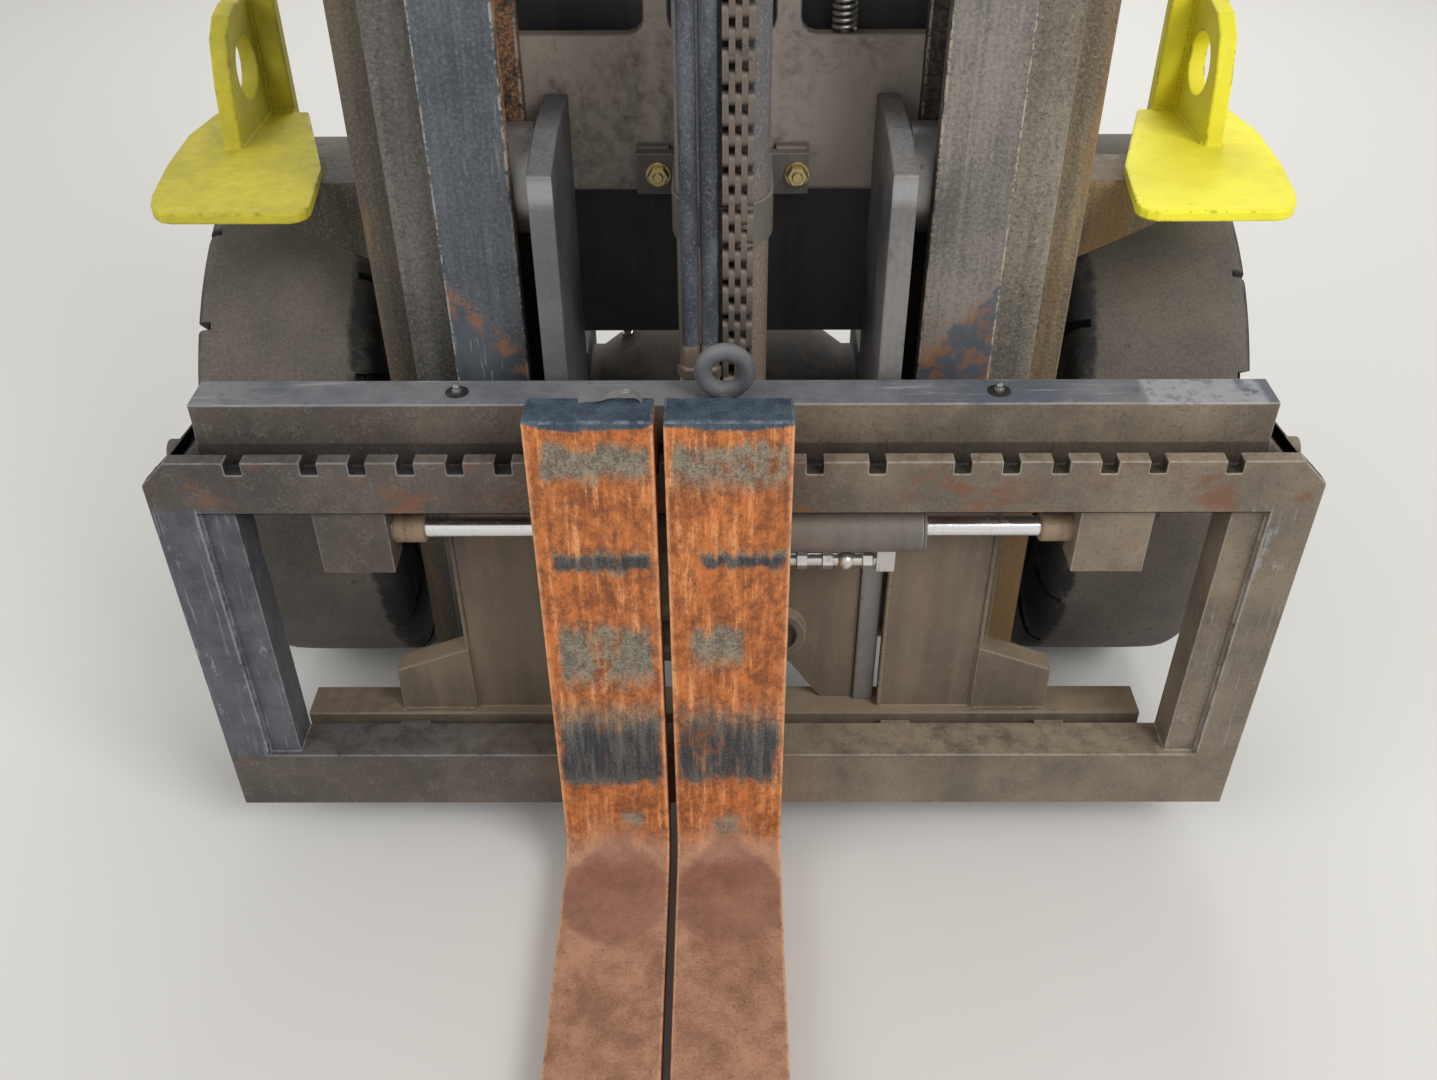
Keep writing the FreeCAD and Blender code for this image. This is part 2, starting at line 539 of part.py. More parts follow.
def lug_arm(sign):
    """The shelf that carries a lifting lug's pad, and the gusset under its front edge."""
    shelf = block(pair(sign, "outer_out", "arm_out"), ("outer_rear - arm_deep", "outer_rear"),
                  ("arm_top - arm_thick", "arm_top"))
    gusset = slab("XZ_Plane", ("outer_rear - arm_deep", "outer_rear - arm_deep + arm_web"), (
        (side(sign, "outer_out"), "arm_top - arm_deep - arm_web"), (side(sign, "arm_out"), "arm_top - 2 * arm_thick"),
        (side(sign, "arm_out"), "arm_top - arm_thick"), (side(sign, "outer_out"), "arm_top - arm_thick")))
    return joined(shelf, gusset)


def bearing(sign):
    """The saddle that hangs the outer rail on the axle, and the cylinder's shelf above it."""
    span = pair(sign, "bearing_in", "bearing_out")
    arm = block(span, ("outer_rear", "axle_y"), ("tyre_radius - 75", "tyre_radius + 60"))
    shelf = block(pair(sign, "lift_at - lift_barrel - 3", "outer_out"), ("outer_rear", "lift_y + lift_barrel"),
                  ("lift_foot - shelf_tall", "lift_foot"))
    ring = bar("x", ("axle_y", "tyre_radius"), "bearing_radius", span)
    hole = bar("x", ("axle_y", "tyre_radius"), "axle_tube + bearing_fit",
               pair(sign, "bearing_in - 40", "bearing_out + 20"))
    return cut(joined(arm, shelf, ring), hole)


for name, sign in SIDES:
    for stage, edge_in, edge_out, web, front, foot, top in STAGES:
        beam = rail(sign, edge_in, edge_out, web, front, foot, top)
        if stage == "inner":
            beam = cut(beam, block(pair(sign, "inner_web + web_thick", "inner_out + 1"),
                                   ("inner_rear - rail_flange - 1", "inner_rear + 1"),
                                   ("inner_foot - 1", "inner_foot + low_roll + roller + 5")))
        if stage == "mid":
            beam = cut(beam,
                       block(pair(sign, "mid_web + web_thick", "mid_out + 1"),
                             ("mid_rear - rail_flange - 1", "mid_rear + 1"),
                             ("mid_foot - 1", "mid_foot + low_roll + roller + 5")),
                       block(pair(sign, "mid_in - 1", "mid_web"),
                             ("rail_y + stage_step - 1", "rail_y + stage_step + rail_flange + 1"),
                             ("mast_top - high_roll - roller - 5", "mast_top + 1")))
        if stage == "outer":
            beam = joined(cut(beam, block(pair(sign, "outer_in - 1", "outer_web"),
                                          ("rail_y + 2 * stage_step - 1", "rail_y + 2 * stage_step + rail_flange + 1"),
                                          ("outer_top - high_roll - roller - 5", "outer_top + 1"))),
                          bearing(sign), lug_arm(sign))
        node("%s_rail_%s" % (stage, name), beam)
    node("lifting_lug_" + name, lifting_lug(sign))

# Cross plates. Columns: foot of each plate of the stage, and how tall it is.
INNER_PLATES = (("inner_foot + plate_foot", "inner_low_tall"), ("inner_waist", "inner_waist_tall"),
                ("inner_chest", "inner_chest_tall"), ("mast_top - inner_head", "inner_head - 2 * plate_foot"))
MID_PLATES = (("mid_foot + 2 * plate_foot", "mid_low_tall"), ("mid_waist", "mid_waist_tall"),
              ("mid_chest", "mid_chest_tall"), ("lift_reach - mid_head", "head_tall"))
OUTER_PLATES = (("outer_foot + 2 * plate_foot", "outer_low_tall"),
                ("tilt_high - tilt_below", "tilt_below + tilt_above"),
                ("outer_chest", "outer_chest_tall"), ("lift_top - 6 * plate_foot", "head_tall"))


def cross_plates(table, half, low, thick):
    return [block(("-(" + half + ")", half), (low, low + " + " + thick), (foot, foot + " + " + tall))
            for foot, tall in table]


# A round corner between a pillar and a cross plate, as shares of the flare along and up.
ROUND_CORNER = ((1, 0), (0.5, 0.134), (0.134, 0.5), (0, 1))


def pillar(sign):
    """An upright on the inner stage beside the free lift cylinder, from the waist plate to the
    chest plate, whose ends flare into both."""
    low = "inner_waist + inner_waist_tall"
    outer = [("pillar_out + pillar_flare", low + " - 1")]
    outer += [("pillar_out + pillar_flare * %g" % along, low + " + pillar_flare * %g" % up)
              for along, up in ROUND_CORNER]
    outer += [("pillar_out + pillar_flare * %g" % along, "inner_chest - pillar_flare * %g" % up)
              for along, up in reversed(ROUND_CORNER)]
    outer.append(("pillar_out + pillar_flare", "inner_chest + 1"))
    inner = [("pillar_in - pillar_flare", "inner_chest + 1")]
    inner += [("pillar_in - pillar_flare * %g" % along, "inner_chest - pillar_flare * %g" % up)
              for along, up in ROUND_CORNER]
    inner += [("pillar_in - pillar_flare * %g" % along, low + " + pillar_flare * %g" % up)
              for along, up in reversed(ROUND_CORNER)]
    inner.append(("pillar_in - pillar_flare", low + " - 1"))
    return slab("XZ_Plane", ("inner_rear", "inner_rear + cross_thick"), [
        (side(sign, along), up) for along, up in outer + inner])


inner_plates = cross_plates(INNER_PLATES, "mid_in - rail_clear", "inner_rear", "cross_thick")
inner_plates.append(block(("-100", "100"), ("free_y - 40", "inner_rear"), ("free_foot - 30", "free_foot")))
for _, sign in SIDES:
    inner_plates.append(block(pair(sign, "strap_half - 35", "strap_half"), ("inner_rear - strap_stand", "inner_rear"),
                              ("strap_low - 3", "strap_low + strap_tall + 3")))
node("inner_cross_plates", apart(joined(inner_plates[0], inner_plates[4]), inner_plates[3], joined(
    inner_plates[1], inner_plates[2], inner_plates[5], inner_plates[6], pillar(-1), pillar(1))))

mid_half = "outer_in - rail_clear"
mid_plates = cross_plates(MID_PLATES, mid_half, "mid_rear", "cross_thick")
ears = []
for _, sign in SIDES:
    ears.append(block(pair(sign, mid_half + " - 62", mid_half),
                      ("mid_rear + cross_thick", "lift_y + lift_barrel"), ("lift_reach", "lift_reach + ear_tall")))
    ears.append(block(pair(sign, mid_half, "outer_out"), ("outer_rear + rail_clear", "lift_y + lift_barrel"),
                      ("lift_reach", "lift_reach + ear_tall")))
node("mid_cross_plates", apart(*mid_plates[:3], joined(mid_plates[3], *ears)))

outer_plates = cross_plates(OUTER_PLATES, "outer_out", "outer_rear", "outer_cross")
tilt_eyes = []
pins = []
for _, sign in SIDES:
    span = pair(sign, "ear_at - ear_thick / 2", "ear_at + ear_thick / 2")
    tilt_eyes.append(block(span, ("outer_rear + outer_cross", "face + ear_back"),
                           ("tilt_high - ear_round", "tilt_high + ear_round")))
    tilt_eyes.append(bar("x", ("face + ear_back", "tilt_high"), "ear_round", span))
    pins.append(bar("x", ("face + ear_back", "tilt_high"), "tilt_pin", span))
clamps = [outer_plates[3]]
for _, sign in SIDES:
    clamps.append(cut(block(pair(sign, "lift_at - 35", "outer_out"), ("outer_rear + outer_cross", "lift_y"),
                            ("lift_top - 58", "lift_top - 10")),
                      bar("z", (side(sign, "lift_at"), "lift_y"), "lift_barrel", ("lift_foot", "lift_top"))))
node("outer_cross_plates", apart(outer_plates[0], outer_plates[2], cut(joined(outer_plates[1], *tilt_eyes), *pins),
                                 joined(*clamps)))

# Main lift cylinders on the outer rails, and their rods under the middle stage's ears.
barrels = []
rods = []
for _, sign in SIDES:
    spot = (side(sign, "lift_at"), "lift_y")
    barrels.append(cut(bar("z", spot, "lift_barrel", ("lift_foot", "lift_top")),
                       bar("z", spot, "lift_rod + rod_fit", ("lift_foot + 12", "lift_top + 1"))))
    rods.append(bar("z", spot, "lift_rod", ("lift_foot + 20", "lift_reach")))
node("lift_barrels", apart(*barrels))
node("lift_rods", apart(*rods))

# Free lift cylinder on the inner stage, its strap and the chain's anchor at its top.
node("free_barrel", cut(
    bar("z", ("0", "free_y"), "free_barrel", ("free_foot", "free_top")),
    bar("z", ("0", "free_y"), "free_rod + rod_fit", ("free_foot + 15", "free_top + 1"))))
strap_z = ("strap_low", "strap_low + strap_tall")
bow = cut(bar("z", ("0", "free_y"), "free_barrel + strap_thick", strap_z),
          bar("z", ("0", "free_y"), "free_barrel", ("strap_low - 1", "strap_low + strap_tall + 1")),
          block(("-strap_half", "strap_half"), ("free_y", "inner_rear"), ("strap_low - 1", "strap_low + strap_tall + 1")))
strap = [bow]
for _, sign in SIDES:
    strap.append(block(pair(sign, "free_barrel", "free_barrel + strap_thick"),
                       ("free_y", "inner_rear - strap_stand - 1"), strap_z))
    strap.append(block(pair(sign, "free_barrel", "strap_half"),
                       ("inner_rear - strap_stand - strap_ear", "inner_rear - strap_stand"), strap_z))
node("cylinder_strap", joined(*strap))
anchor_z = ("free_top - 10 - anchor_tall", "free_top - 10")
node("chain_anchor_high", cut(
    block(("-hose_two - hose_radius - 12", "chain_wide + 12"), ("free_y + 30", "free_y + chain_line + 22"), anchor_z),
    bar("z", ("0", "free_y"), "free_barrel", ("free_foot", "free_top")),
    block(("-hose_two - hose_radius - 6", "chain_wide + 6"),
          ("free_y + chain_line - 15", "free_y + chain_line + 15"), ("free_top - 200", "free_top"))))

# Crosshead on the rod: a yoke, and one sheave that carries the chain and both hoses.
yoke_low = "-hose_two - hose_radius - 17"
yoke_high = "chain_wide + 17"
yoke = [block((yoke_low, yoke_high), ("free_y - 42", "free_y + 42"), ("free_top + 10", "sheave_high - 74"))]
pins = [bar("x", ("free_y", "sheave_high"), "sheave_pin", (yoke_low, yoke_high))]
for low, high in ((yoke_low, yoke_low + " + yoke_cheek"), (yoke_high + " - yoke_cheek", yoke_high)):
    yoke.append(block((low, high), ("free_y - 26", "free_y + 26"), ("sheave_high - 74", "sheave_high + 26")))
node("crosshead", joined(*yoke, *pins))
node("free_rod", bar("z", ("0", "free_y"), "free_rod", ("free_foot + 20", "free_top + 10")))
hose_floor = "chain_line - hose_radius"
chain_floor = "chain_line - chain_thick / 2 - fork_play"
node("chain_sheave", turned((
    ("-hose_two - hose_radius - 4", "sheave_pin + bearing_play"), ("-hose_two - hose_radius - 4", "chain_line + 3"),
    ("-hose_two - hose_radius - 1", "chain_line + 3"), ("-hose_two - hose_radius - 1", hose_floor + " - fork_play"),
    ("-hose_one + hose_radius + 1", hose_floor + " - fork_play"), ("-hose_one + hose_radius + 1", "chain_line + 4"),
    ("-1", "chain_line + 4"), ("-1", chain_floor), ("chain_wide + 1", chain_floor),
    ("chain_wide + 1", "chain_line + 4"), ("chain_wide + 4", "chain_line + 4"),
    ("chain_wide + 4", "sheave_pin + bearing_play")), 1, "0", "free_y", "sheave_high"))

tail = "sheave_high - chain_tail"
over = cut(bar("x", ("free_y", "sheave_high"), "chain_line + chain_thick / 2", ("0", "chain_wide")),
           bar("x", ("free_y", "sheave_high"), "chain_line - chain_thick / 2", ("-1", "chain_wide + 1")),
           block(("-1", "chain_wide + 1"), ("free_y - 200", "free_y + 200"), ("sheave_high - 200", "sheave_high")))
node("chain_over_sheave", joined(over, block(
    ("0", "chain_wide"), ("free_y + chain_line - chain_thick / 2", "free_y + chain_line + chain_thick / 2"),
    (tail, "sheave_high"))))
node("chain_run", block(
    ("0", "chain_wide"), ("free_y - chain_line - chain_thick / 2", "free_y - chain_line + chain_thick / 2"),
    ("carriage_top + anchor_tall", "sheave_high - fork_play")))
hoses_over = []
hose_runs = []
for line in ("hose_one", "hose_two"):
    bend = doc.addObject("Part::Torus", "Bend")
    bend.setExpression("Radius1", bind("chain_line"))
    bend.setExpression("Radius2", bind("hose_radius"))
    bend.Placement = FreeCAD.Placement(Vector(), Rotation(Vector(0, 1, 0), 90))
    for axis, place in (("x", "-" + line), ("y", "free_y"), ("z", "sheave_high")):
        bend.setExpression("Placement.Base." + axis, bind(place))
    half = cut(bend, block(("-" + line + " - 20", "-" + line + " + 20"), ("free_y - 200", "free_y + 200"),
                           ("sheave_high - 200", "sheave_high")))
    hoses_over.append(joined(half, bar("z", ("-" + line, "free_y + chain_line"), "hose_radius",
                                       (tail, "sheave_high"))))
    hose_runs.append(bar("z", ("-" + line, "free_y - chain_line"), "hose_radius",
                         ("carriage_top + anchor_tall", "sheave_high - fork_play")))
node("hoses_over_sheave", apart(*hoses_over))
node("hose_runs", apart(*hose_runs))

# Drive axle: turned housing with spindles, differential casing, pads for the chassis.
half_axle = (("bulge_half", "axle_bulge"), ("tube_in", "axle_tube"), ("tube_end", "axle_tube"),
             ("tube_end", "spindle"), ("spindle_end", "spindle"))
profile = [("-spindle_end", "0"), ("spindle_end", "0")]
profile += [(x, r) for x, r in reversed(half_axle)]
profile += [("-" + x, r) for x, r in half_axle]
casing_end = "axle_y + casing_long"
nose_end = casing_end + " + nose_long"
axle = [
    turned(profile, 1, "0", "axle_y", "tyre_radius"),
    bar("y", ("0", "tyre_radius"), "casing_radius", ("axle_y", casing_end)),
    bar("y", ("0", "tyre_radius"), "nose_radius", (casing_end, nose_end)),
    bar("y", ("0", "tyre_radius"), "flange_radius", (nose_end, nose_end + " + flange_thick")),
]
holes = []
for i in range(4):
    turn = math.radians(45 + 90 * i)
    spot = ("drive_bolts * %.6f" % math.cos(turn), "tyre_radius + drive_bolts * %.6f" % math.sin(turn))
    holes.append(bar("y", spot, "drive_hole", (nose_end, nose_end + " + flange_thick + 1")))
for _, sign in SIDES:
    axle.append(block(pair(sign, "pad_in", "pad_out"), ("axle_y - pad_half", "axle_y + pad_half"),
                      ("tyre_radius", "pad_high")))
    for across in (-1, 1):
        for along in (-1, 1):
            spot = ("%s + (%d) * pad_span_x / 2" % (side(sign, "(pad_in + pad_out) / 2"), across),
                    "axle_y + (%d) * pad_span_y / 2" % along)
            holes.append(bar("z", spot, "pad_hole", ("pad_high - pad_depth", "pad_high + 1")))
node("axle_housing", cut(joined(*axle), *holes))
backing = []
for _, sign in SIDES:
    span = pair(sign, "tube_end - backing_thick", "tube_end")
    backing.append(cut(bar("x", ("axle_y", "tyre_radius"), "plate_radius", span),
                       bar("x", ("axle_y", "tyre_radius"), "axle_tube", pair(sign, "bearing_out", "tube_end + 1"))))
node("brake_plates", apart(*backing))


def around(sign, count, radius_at, x, hole, start=0.0):
    """Bars along X, evenly spaced on a circle about the wheel's axis."""
    made = []
    for i in range(count):
        turn = math.radians(start + 360.0 * i / count)
        spot = ("axle_y + (%s) * %.6f" % (radius_at, math.cos(turn)),
                "tyre_radius + (%s) * %.6f" % (radius_at, math.sin(turn)))
        made.append(bar("x", spot, hole, pair(sign, *x)))
    return made


# Wheels. Each turned outline is given outboard from the wheel's middle plane.
CUTS = 18
TYRE = (("84", "bead_radius"), ("rim_half", "bead_radius + rim_lip"), ("tyre_wide / 2", "bead_radius + 55"),
        ("tyre_wide / 2", "tyre_radius - 55"), ("tyre_wide / 2 - 8", "tyre_radius - 14"),
        ("tyre_wide / 2 - 25", "tyre_radius"))
for name, sign in SIDES:
    spot = (side(sign, "wheel_at"), "axle_y", "tyre_radius")
    tyre = turned(tuple(("-(" + x + ")", r) for x, r in TYRE) + tuple(reversed(TYRE)), sign, *spot)
    cuts = []
    for inboard in (-1, 1):
        low = "wheel_at + (%d) * (tyre_wide / 2 - lug_cut_long / 2) - lug_cut_long / 2" % inboard
        high = "wheel_at + (%d) * (tyre_wide / 2 - lug_cut_long / 2) + lug_cut_long / 2" % inboard
        for i in range(CUTS):
            notch = doc.addObject("Part::Box", "Notch")
            notch.setExpression("Length", bind("lug_cut_long"))
            notch.setExpression("Width", bind("lug_cut"))
            notch.setExpression("Height", bind("lug_cut_deep + 10"))
            turn = 360.0 * (i + 0.25 * inboard) / CUTS
            notch.Placement = FreeCAD.Placement(Vector(), Rotation(Vector(1, 0, 0), turn))
            sine, cosine = math.sin(math.radians(turn)), math.cos(math.radians(turn))
            reach = "(tyre_radius - lug_cut_deep)"
            notch.setExpression("Placement.Base.x", bind(pair(sign, low, high)[0]))
            notch.setExpression("Placement.Base.y", bind(
                "axle_y - %s * %.6f - lug_cut / 2 * %.6f" % (reach, sine, cosine)))
            notch.setExpression("Placement.Base.z", bind(
                "tyre_radius + %s * %.6f - lug_cut / 2 * %.6f" % (reach, cosine, sine)))
            cuts.append(notch)
    node("tyre_" + name, cut(tyre, *cuts))
    rim = turned((
        ("disc_at", "disc_hole"), ("disc_at + disc_thick", "disc_hole"),
        ("disc_at + disc_thick", "bead_radius - rim_wall"), ("rim_half", "bead_radius - rim_wall"),
        ("rim_half + 6", "bead_radius + rim_lip"), ("rim_half + 1", "bead_radius + rim_lip"),
        ("84", "bead_radius"), ("-84", "bead_radius"), ("-rim_half - 1", "bead_radius + rim_lip"),
        ("-rim_half - 6", "bead_radius + rim_lip"), ("-rim_half", "bead_radius - rim_wall"),
        ("disc_at", "bead_radius - rim_wall")), sign, *spot)
    disc_x = ("wheel_at + disc_at - 1", "wheel_at + disc_at + disc_thick + 1")
    node("rim_" + name, cut(rim, *around(sign, 6, "hand_at", disc_x, "hand_hole", 22.5)))
    hub = turned((
        ("-hub_in", "spindle + bearing_play"), ("hub_in", "spindle + bearing_play"), ("hub_in", "0"),
        ("cap_out", "0"), ("cap_out", "hub_cap - 8"), ("cap_out - 8", "hub_cap"), ("hub_out", "hub_cap"),
        ("hub_out", "disc_hole - fork_play"),
        ("disc_at", "disc_hole - fork_play"), ("disc_at", "hub_flange"),
        ("disc_at - 18", "hub_flange"), ("disc_at - 18", "drum_radius"), ("-drum_end", "drum_radius"),
        ("-drum_end", "drum_radius - drum_wall"), ("disc_at - 30", "drum_radius - drum_wall"),
        ("disc_at - 30", "hub_radius"), ("-hub_in", "hub_radius")), sign, *spot)
    nuts = around(sign, 8, "nut_circle", ("wheel_at + disc_at + disc_thick", "wheel_at + disc_at + disc_thick + nut_tall"),
                  "nut_radius")
    node("hub_" + name, hub)
    node("wheel_nuts_" + name, apart(*nuts))

doc.recompute()
bad = [thing.Label for thing in doc.Objects if "Invalid" in thing.State or "Error" in thing.State]
if bad:
    raise RuntimeError("these did not build: %s" % bad)
os.makedirs("parts", exist_ok=True)
for name, piece in nodes.items():
    shape = piece.Shape
    if shape.isNull() or not shape.isValid() or shape.Volume < 1:
        raise RuntimeError("%s has no valid shape" % name)
    shape.exportStep("parts/%s.step" % name)
    print("%-22s solids %2d  volume %10.0f" % (name, len(shape.Solids), shape.Volume))
whole = Part.makeCompound([piece.Shape for piece in nodes.values()]).BoundBox
print("box", [round(number, 1) for number in (whole.XMin, whole.YMin, whole.ZMin, whole.XMax, whole.YMax, whole.ZMax)])
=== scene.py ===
# %% [markdown]
# # A forklift's front end
# The imported model is the fixed frame of this scene: rails, bars, forks, axle and wheels are
# already there, in metres, with X to the right, Y back into the truck and Z up. This script
# gives each of them its worn finish, and adds the small things that sit on them: chain links,
# hoses, nuts, welds, nipples and the tyres' tread.

import bmesh
import bpy
import json
import math
from mathutils import Matrix, Vector


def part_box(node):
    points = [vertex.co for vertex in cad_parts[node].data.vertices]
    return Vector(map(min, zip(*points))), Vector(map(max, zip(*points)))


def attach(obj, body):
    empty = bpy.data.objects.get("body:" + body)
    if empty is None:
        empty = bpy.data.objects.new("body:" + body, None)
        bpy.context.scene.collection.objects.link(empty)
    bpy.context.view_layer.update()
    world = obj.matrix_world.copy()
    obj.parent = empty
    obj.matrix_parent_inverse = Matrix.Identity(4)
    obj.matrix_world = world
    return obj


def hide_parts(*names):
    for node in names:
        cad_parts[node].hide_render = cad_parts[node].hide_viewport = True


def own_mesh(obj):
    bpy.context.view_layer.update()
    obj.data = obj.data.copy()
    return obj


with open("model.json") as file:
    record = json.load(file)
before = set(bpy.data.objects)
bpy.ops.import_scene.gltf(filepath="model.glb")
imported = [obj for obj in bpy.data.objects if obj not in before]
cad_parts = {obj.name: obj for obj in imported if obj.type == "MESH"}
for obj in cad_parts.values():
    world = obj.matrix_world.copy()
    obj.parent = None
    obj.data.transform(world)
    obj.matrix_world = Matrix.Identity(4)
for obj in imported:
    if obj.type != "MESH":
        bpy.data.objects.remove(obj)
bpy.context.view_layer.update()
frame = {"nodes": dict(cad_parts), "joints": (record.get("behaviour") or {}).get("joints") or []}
nodes = frame["nodes"]
scene = bpy.context.scene

# %% [markdown]
# ## Where things are
# Pieces are placed from the frame's own boxes, so they stay on what carries them when a size
# changes. A few faces are used again and again: the front of the bars, the axle's line and the
# upright lines of the chain and the cylinder.

# %% Places read from the frame
bar_low, bar_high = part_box("shift_frame")
FACE = bar_low.y
BEAM_TOP = bar_high.z
axle_low, axle_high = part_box("tyre_left")
AXLE = Vector((0, (axle_low.y + axle_high.y) / 2, (axle_low.z + axle_high.z) / 2))
TYRE_RADIUS = axle_high.z - AXLE.z
chain_low, chain_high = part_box("chain_run")
sheave_low, sheave_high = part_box("chain_sheave")
SHEAVE = (sheave_low + sheave_high) / 2
print("bars' front", round(FACE, 4), "axle", [round(value, 4) for value in AXLE])

# %% [markdown]
# ## Camera
# The viewer stands in front of the forks and looks down at them. The picture is 1437 by 1080,
# and the lens takes in 57 degrees across. A camera that is turned in three steps, level first,
# then down, then a touch of roll, is easier to read than one long matrix.

# %% Camera
PICTURE_WIDTH = 1437
FOCAL_IN_PIXELS = 1322.25
camera_data = bpy.data.cameras.new("Camera")
camera_data.sensor_width = 36
camera_data.lens = camera_data.sensor_width * FOCAL_IN_PIXELS / PICTURE_WIDTH
camera_data.clip_end = 60
camera = bpy.data.objects.new("Camera", camera_data)
scene.collection.objects.link(camera)
LOOKING_DOWN = math.radians(37.51)
TURNED = math.radians(0.328)
ROLLED = math.radians(-0.313)
turn = (Matrix.Rotation(TURNED, 4, "Z") @ Matrix.Rotation(math.pi / 2 - LOOKING_DOWN, 4, "X")
        @ Matrix.Rotation(ROLLED, 4, "Z"))
VIEWER = (0.0014, -0.907, 1.3307)
camera.matrix_world = Matrix.Translation(VIEWER) @ turn
scene.camera = camera
scene.view_settings.view_transform = "Standard"
print("lens", round(camera_data.lens, 2), "mm")

# %% [markdown]
# ## Nodes as sums
# Finishes and repeated pieces are both node trees. Placing nodes by hand takes many lines, so
# one class wraps a socket and lets sums be written as sums, and another adds any node: its
# settings first, then what goes into it.

# %% A socket that takes part in sums
class Value:
    """One output of a tree, which can be added, taken away, multiplied and divided."""

    def __init__(self, graph, socket):
        self.graph = graph
        self.socket = socket

    def sum_of(self, operation, first, second):
        return self.graph.node("ShaderNodeMath", {"operation": operation}, {0: first, 1: second})

    def __add__(self, other):
        return self.sum_of("ADD", self, other)

    def __radd__(self, other):
        return self.sum_of("ADD", other, self)

    def __sub__(self, other):
        return self.sum_of("SUBTRACT", self, other)

    def __rsub__(self, other):
        return self.sum_of("SUBTRACT", other, self)

    def __mul__(self, other):
        return self.sum_of("MULTIPLY", self, other)

    def __rmul__(self, other):
        return self.sum_of("MULTIPLY", other, self)

    def __truediv__(self, other):
        return self.sum_of("DIVIDE", self, other)

    def __rtruediv__(self, other):
        return self.sum_of("DIVIDE", other, self)

    def __pow__(self, other):
        return self.sum_of("POWER", self, other)

    def __abs__(self):
        return self.sum_of("ABSOLUTE", self, 0.0)

    def most(self, other):
        return self.sum_of("MAXIMUM", self, other)

    def least(self, other):
        return self.sum_of("MINIMUM", self, other)

    def step(self, low, high):
        """0 up to low, 1 from high, and a smooth rise between."""
        return self.graph.node("ShaderNodeMapRange", {"interpolation_type": "SMOOTHSTEP"},
                               {"Value": self, "From Min": low, "From Max": high})

    def band(self, low, high, soft):
        """1 between low and high, and 0 outside, with soft ends."""
        return self.step(low - soft, low + soft) * self.step(high + soft, high - soft)

    def mix(self, first, second):
        """The first colour where this share is 0, the second where it is 1."""
        return self.graph.node("ShaderNodeMix", {"data_type": "RGBA"}, {0: self, 6: first, 7: second}, 2)


# %% A tree that nodes are added to
class Graph:
    """Adds nodes to a tree. A value is a number, a colour or another node's output."""

    def __init__(self, tree):
        self.tree = tree

    def node(self, kind, settings=None, inputs=None, output=0):
        made = self.tree.nodes.new(kind)
        for name, value in (settings or {}).items():
            setattr(made, name, value)
        for name, value in (inputs or {}).items():
            self.feed(made.inputs[name], value)
        return Value(self, made.outputs[output])

    def feed(self, socket, value):
        if isinstance(value, Value):
            self.tree.links.new(value.socket, socket)
        else:
            socket.default_value = value


# %% [markdown]
# ## What every finish needs
# Colours are written as they should look on screen. Patterns are read from object coordinates,
# in metres, because each piece sits at the origin with its place in its mesh, so a stain can be
# put at a height on the mast. Dust lies on what faces up, which the surface's normal tells.

# %% Colours and patterns
def shade(red, green, blue):
    """A colour from 0 to 255 a channel, in the linear values that shaders use."""
    parts = [part / 255 for part in (red, green, blue)]
    linear = [part / 12.92 if part <= 0.04045 else ((part + 0.055) / 1.055) ** 2.4 for part in parts]
    return (*linear, 1.0)


class Finish(Graph):
    """A material on one Principled shader, with patterns on object coordinates."""

    def __init__(self, name, roughness=0.6, metallic=0.0):
        self.material = bpy.data.materials.new(name)
        self.material.use_nodes = True
        super().__init__(self.material.node_tree)
        self.shader = self.tree.nodes["Principled BSDF"]
        self.shader.inputs["Roughness"].default_value = roughness
        self.shader.inputs["Metallic"].default_value = metallic
        self.place = self.node("ShaderNodeTexCoord", output="Object")

    def along(self, axis):
        """How far along X, Y or Z a point is, in metres."""
        return self.node("ShaderNodeSeparateXYZ", inputs={0: self.place}, output=axis)

    def facing(self, axis):
        """How much the surface faces along X, Y or Z, from -1 to 1."""
        normal = self.node("ShaderNodeNewGeometry", output="Normal")
        return self.node("ShaderNodeSeparateXYZ", inputs={0: normal}, output=axis)

    def front(self, low, high):
        """1 on what faces the front, and 0 on the rest."""
        return (0.0 - self.facing("Y")).step(low, high)

    def noise(self, scale, detail=5.0, roughness=0.6, stretch=(1, 1, 1), shift=0.0):
        """Soft random spots, about 1 / scale metres wide, drawn out where stretch is small."""
        spot = self.node("ShaderNodeMapping", inputs={
            "Vector": self.place, "Scale": stretch, "Location": (shift, shift, shift)})
        return self.node("ShaderNodeTexNoise", inputs={
            "Vector": spot, "Scale": scale, "Detail": detail, "Roughness": roughness})

    def cells(self, scale, stretch=(1, 1, 1)):
        """How far a point is from the nearest of many scattered seeds."""
        spot = self.node("ShaderNodeMapping", inputs={"Vector": self.place, "Scale": stretch})
        return self.node("ShaderNodeTexVoronoi", inputs={"Vector": spot, "Scale": scale})

    def coat(self, colour, roughness=None, metallic=None, height=None, depth=0.001):
        """Puts the patterns on the shader. Depth is the bumps' height in metres."""
        self.feed(self.shader.inputs["Base Color"], colour)
        if roughness is not None:
            self.feed(self.shader.inputs["Roughness"], roughness)
        if metallic is not None:
            self.feed(self.shader.inputs["Metallic"], metallic)
        if height is not None:
            bump = self.node("ShaderNodeBump", inputs={"Distance": depth, "Height": height})
            self.feed(self.shader.inputs["Normal"], bump)
        return self.material


# %% [markdown]
# ## Worn paint
# Most of the frame wears the same dark paint in different states: clouded by weather, streaked
# by rain, scuffed by loads, with tan dust lying on top. One function takes the colours. It runs
# twice, for the faces and for the rounded edges, where the paint is rubbed thin.

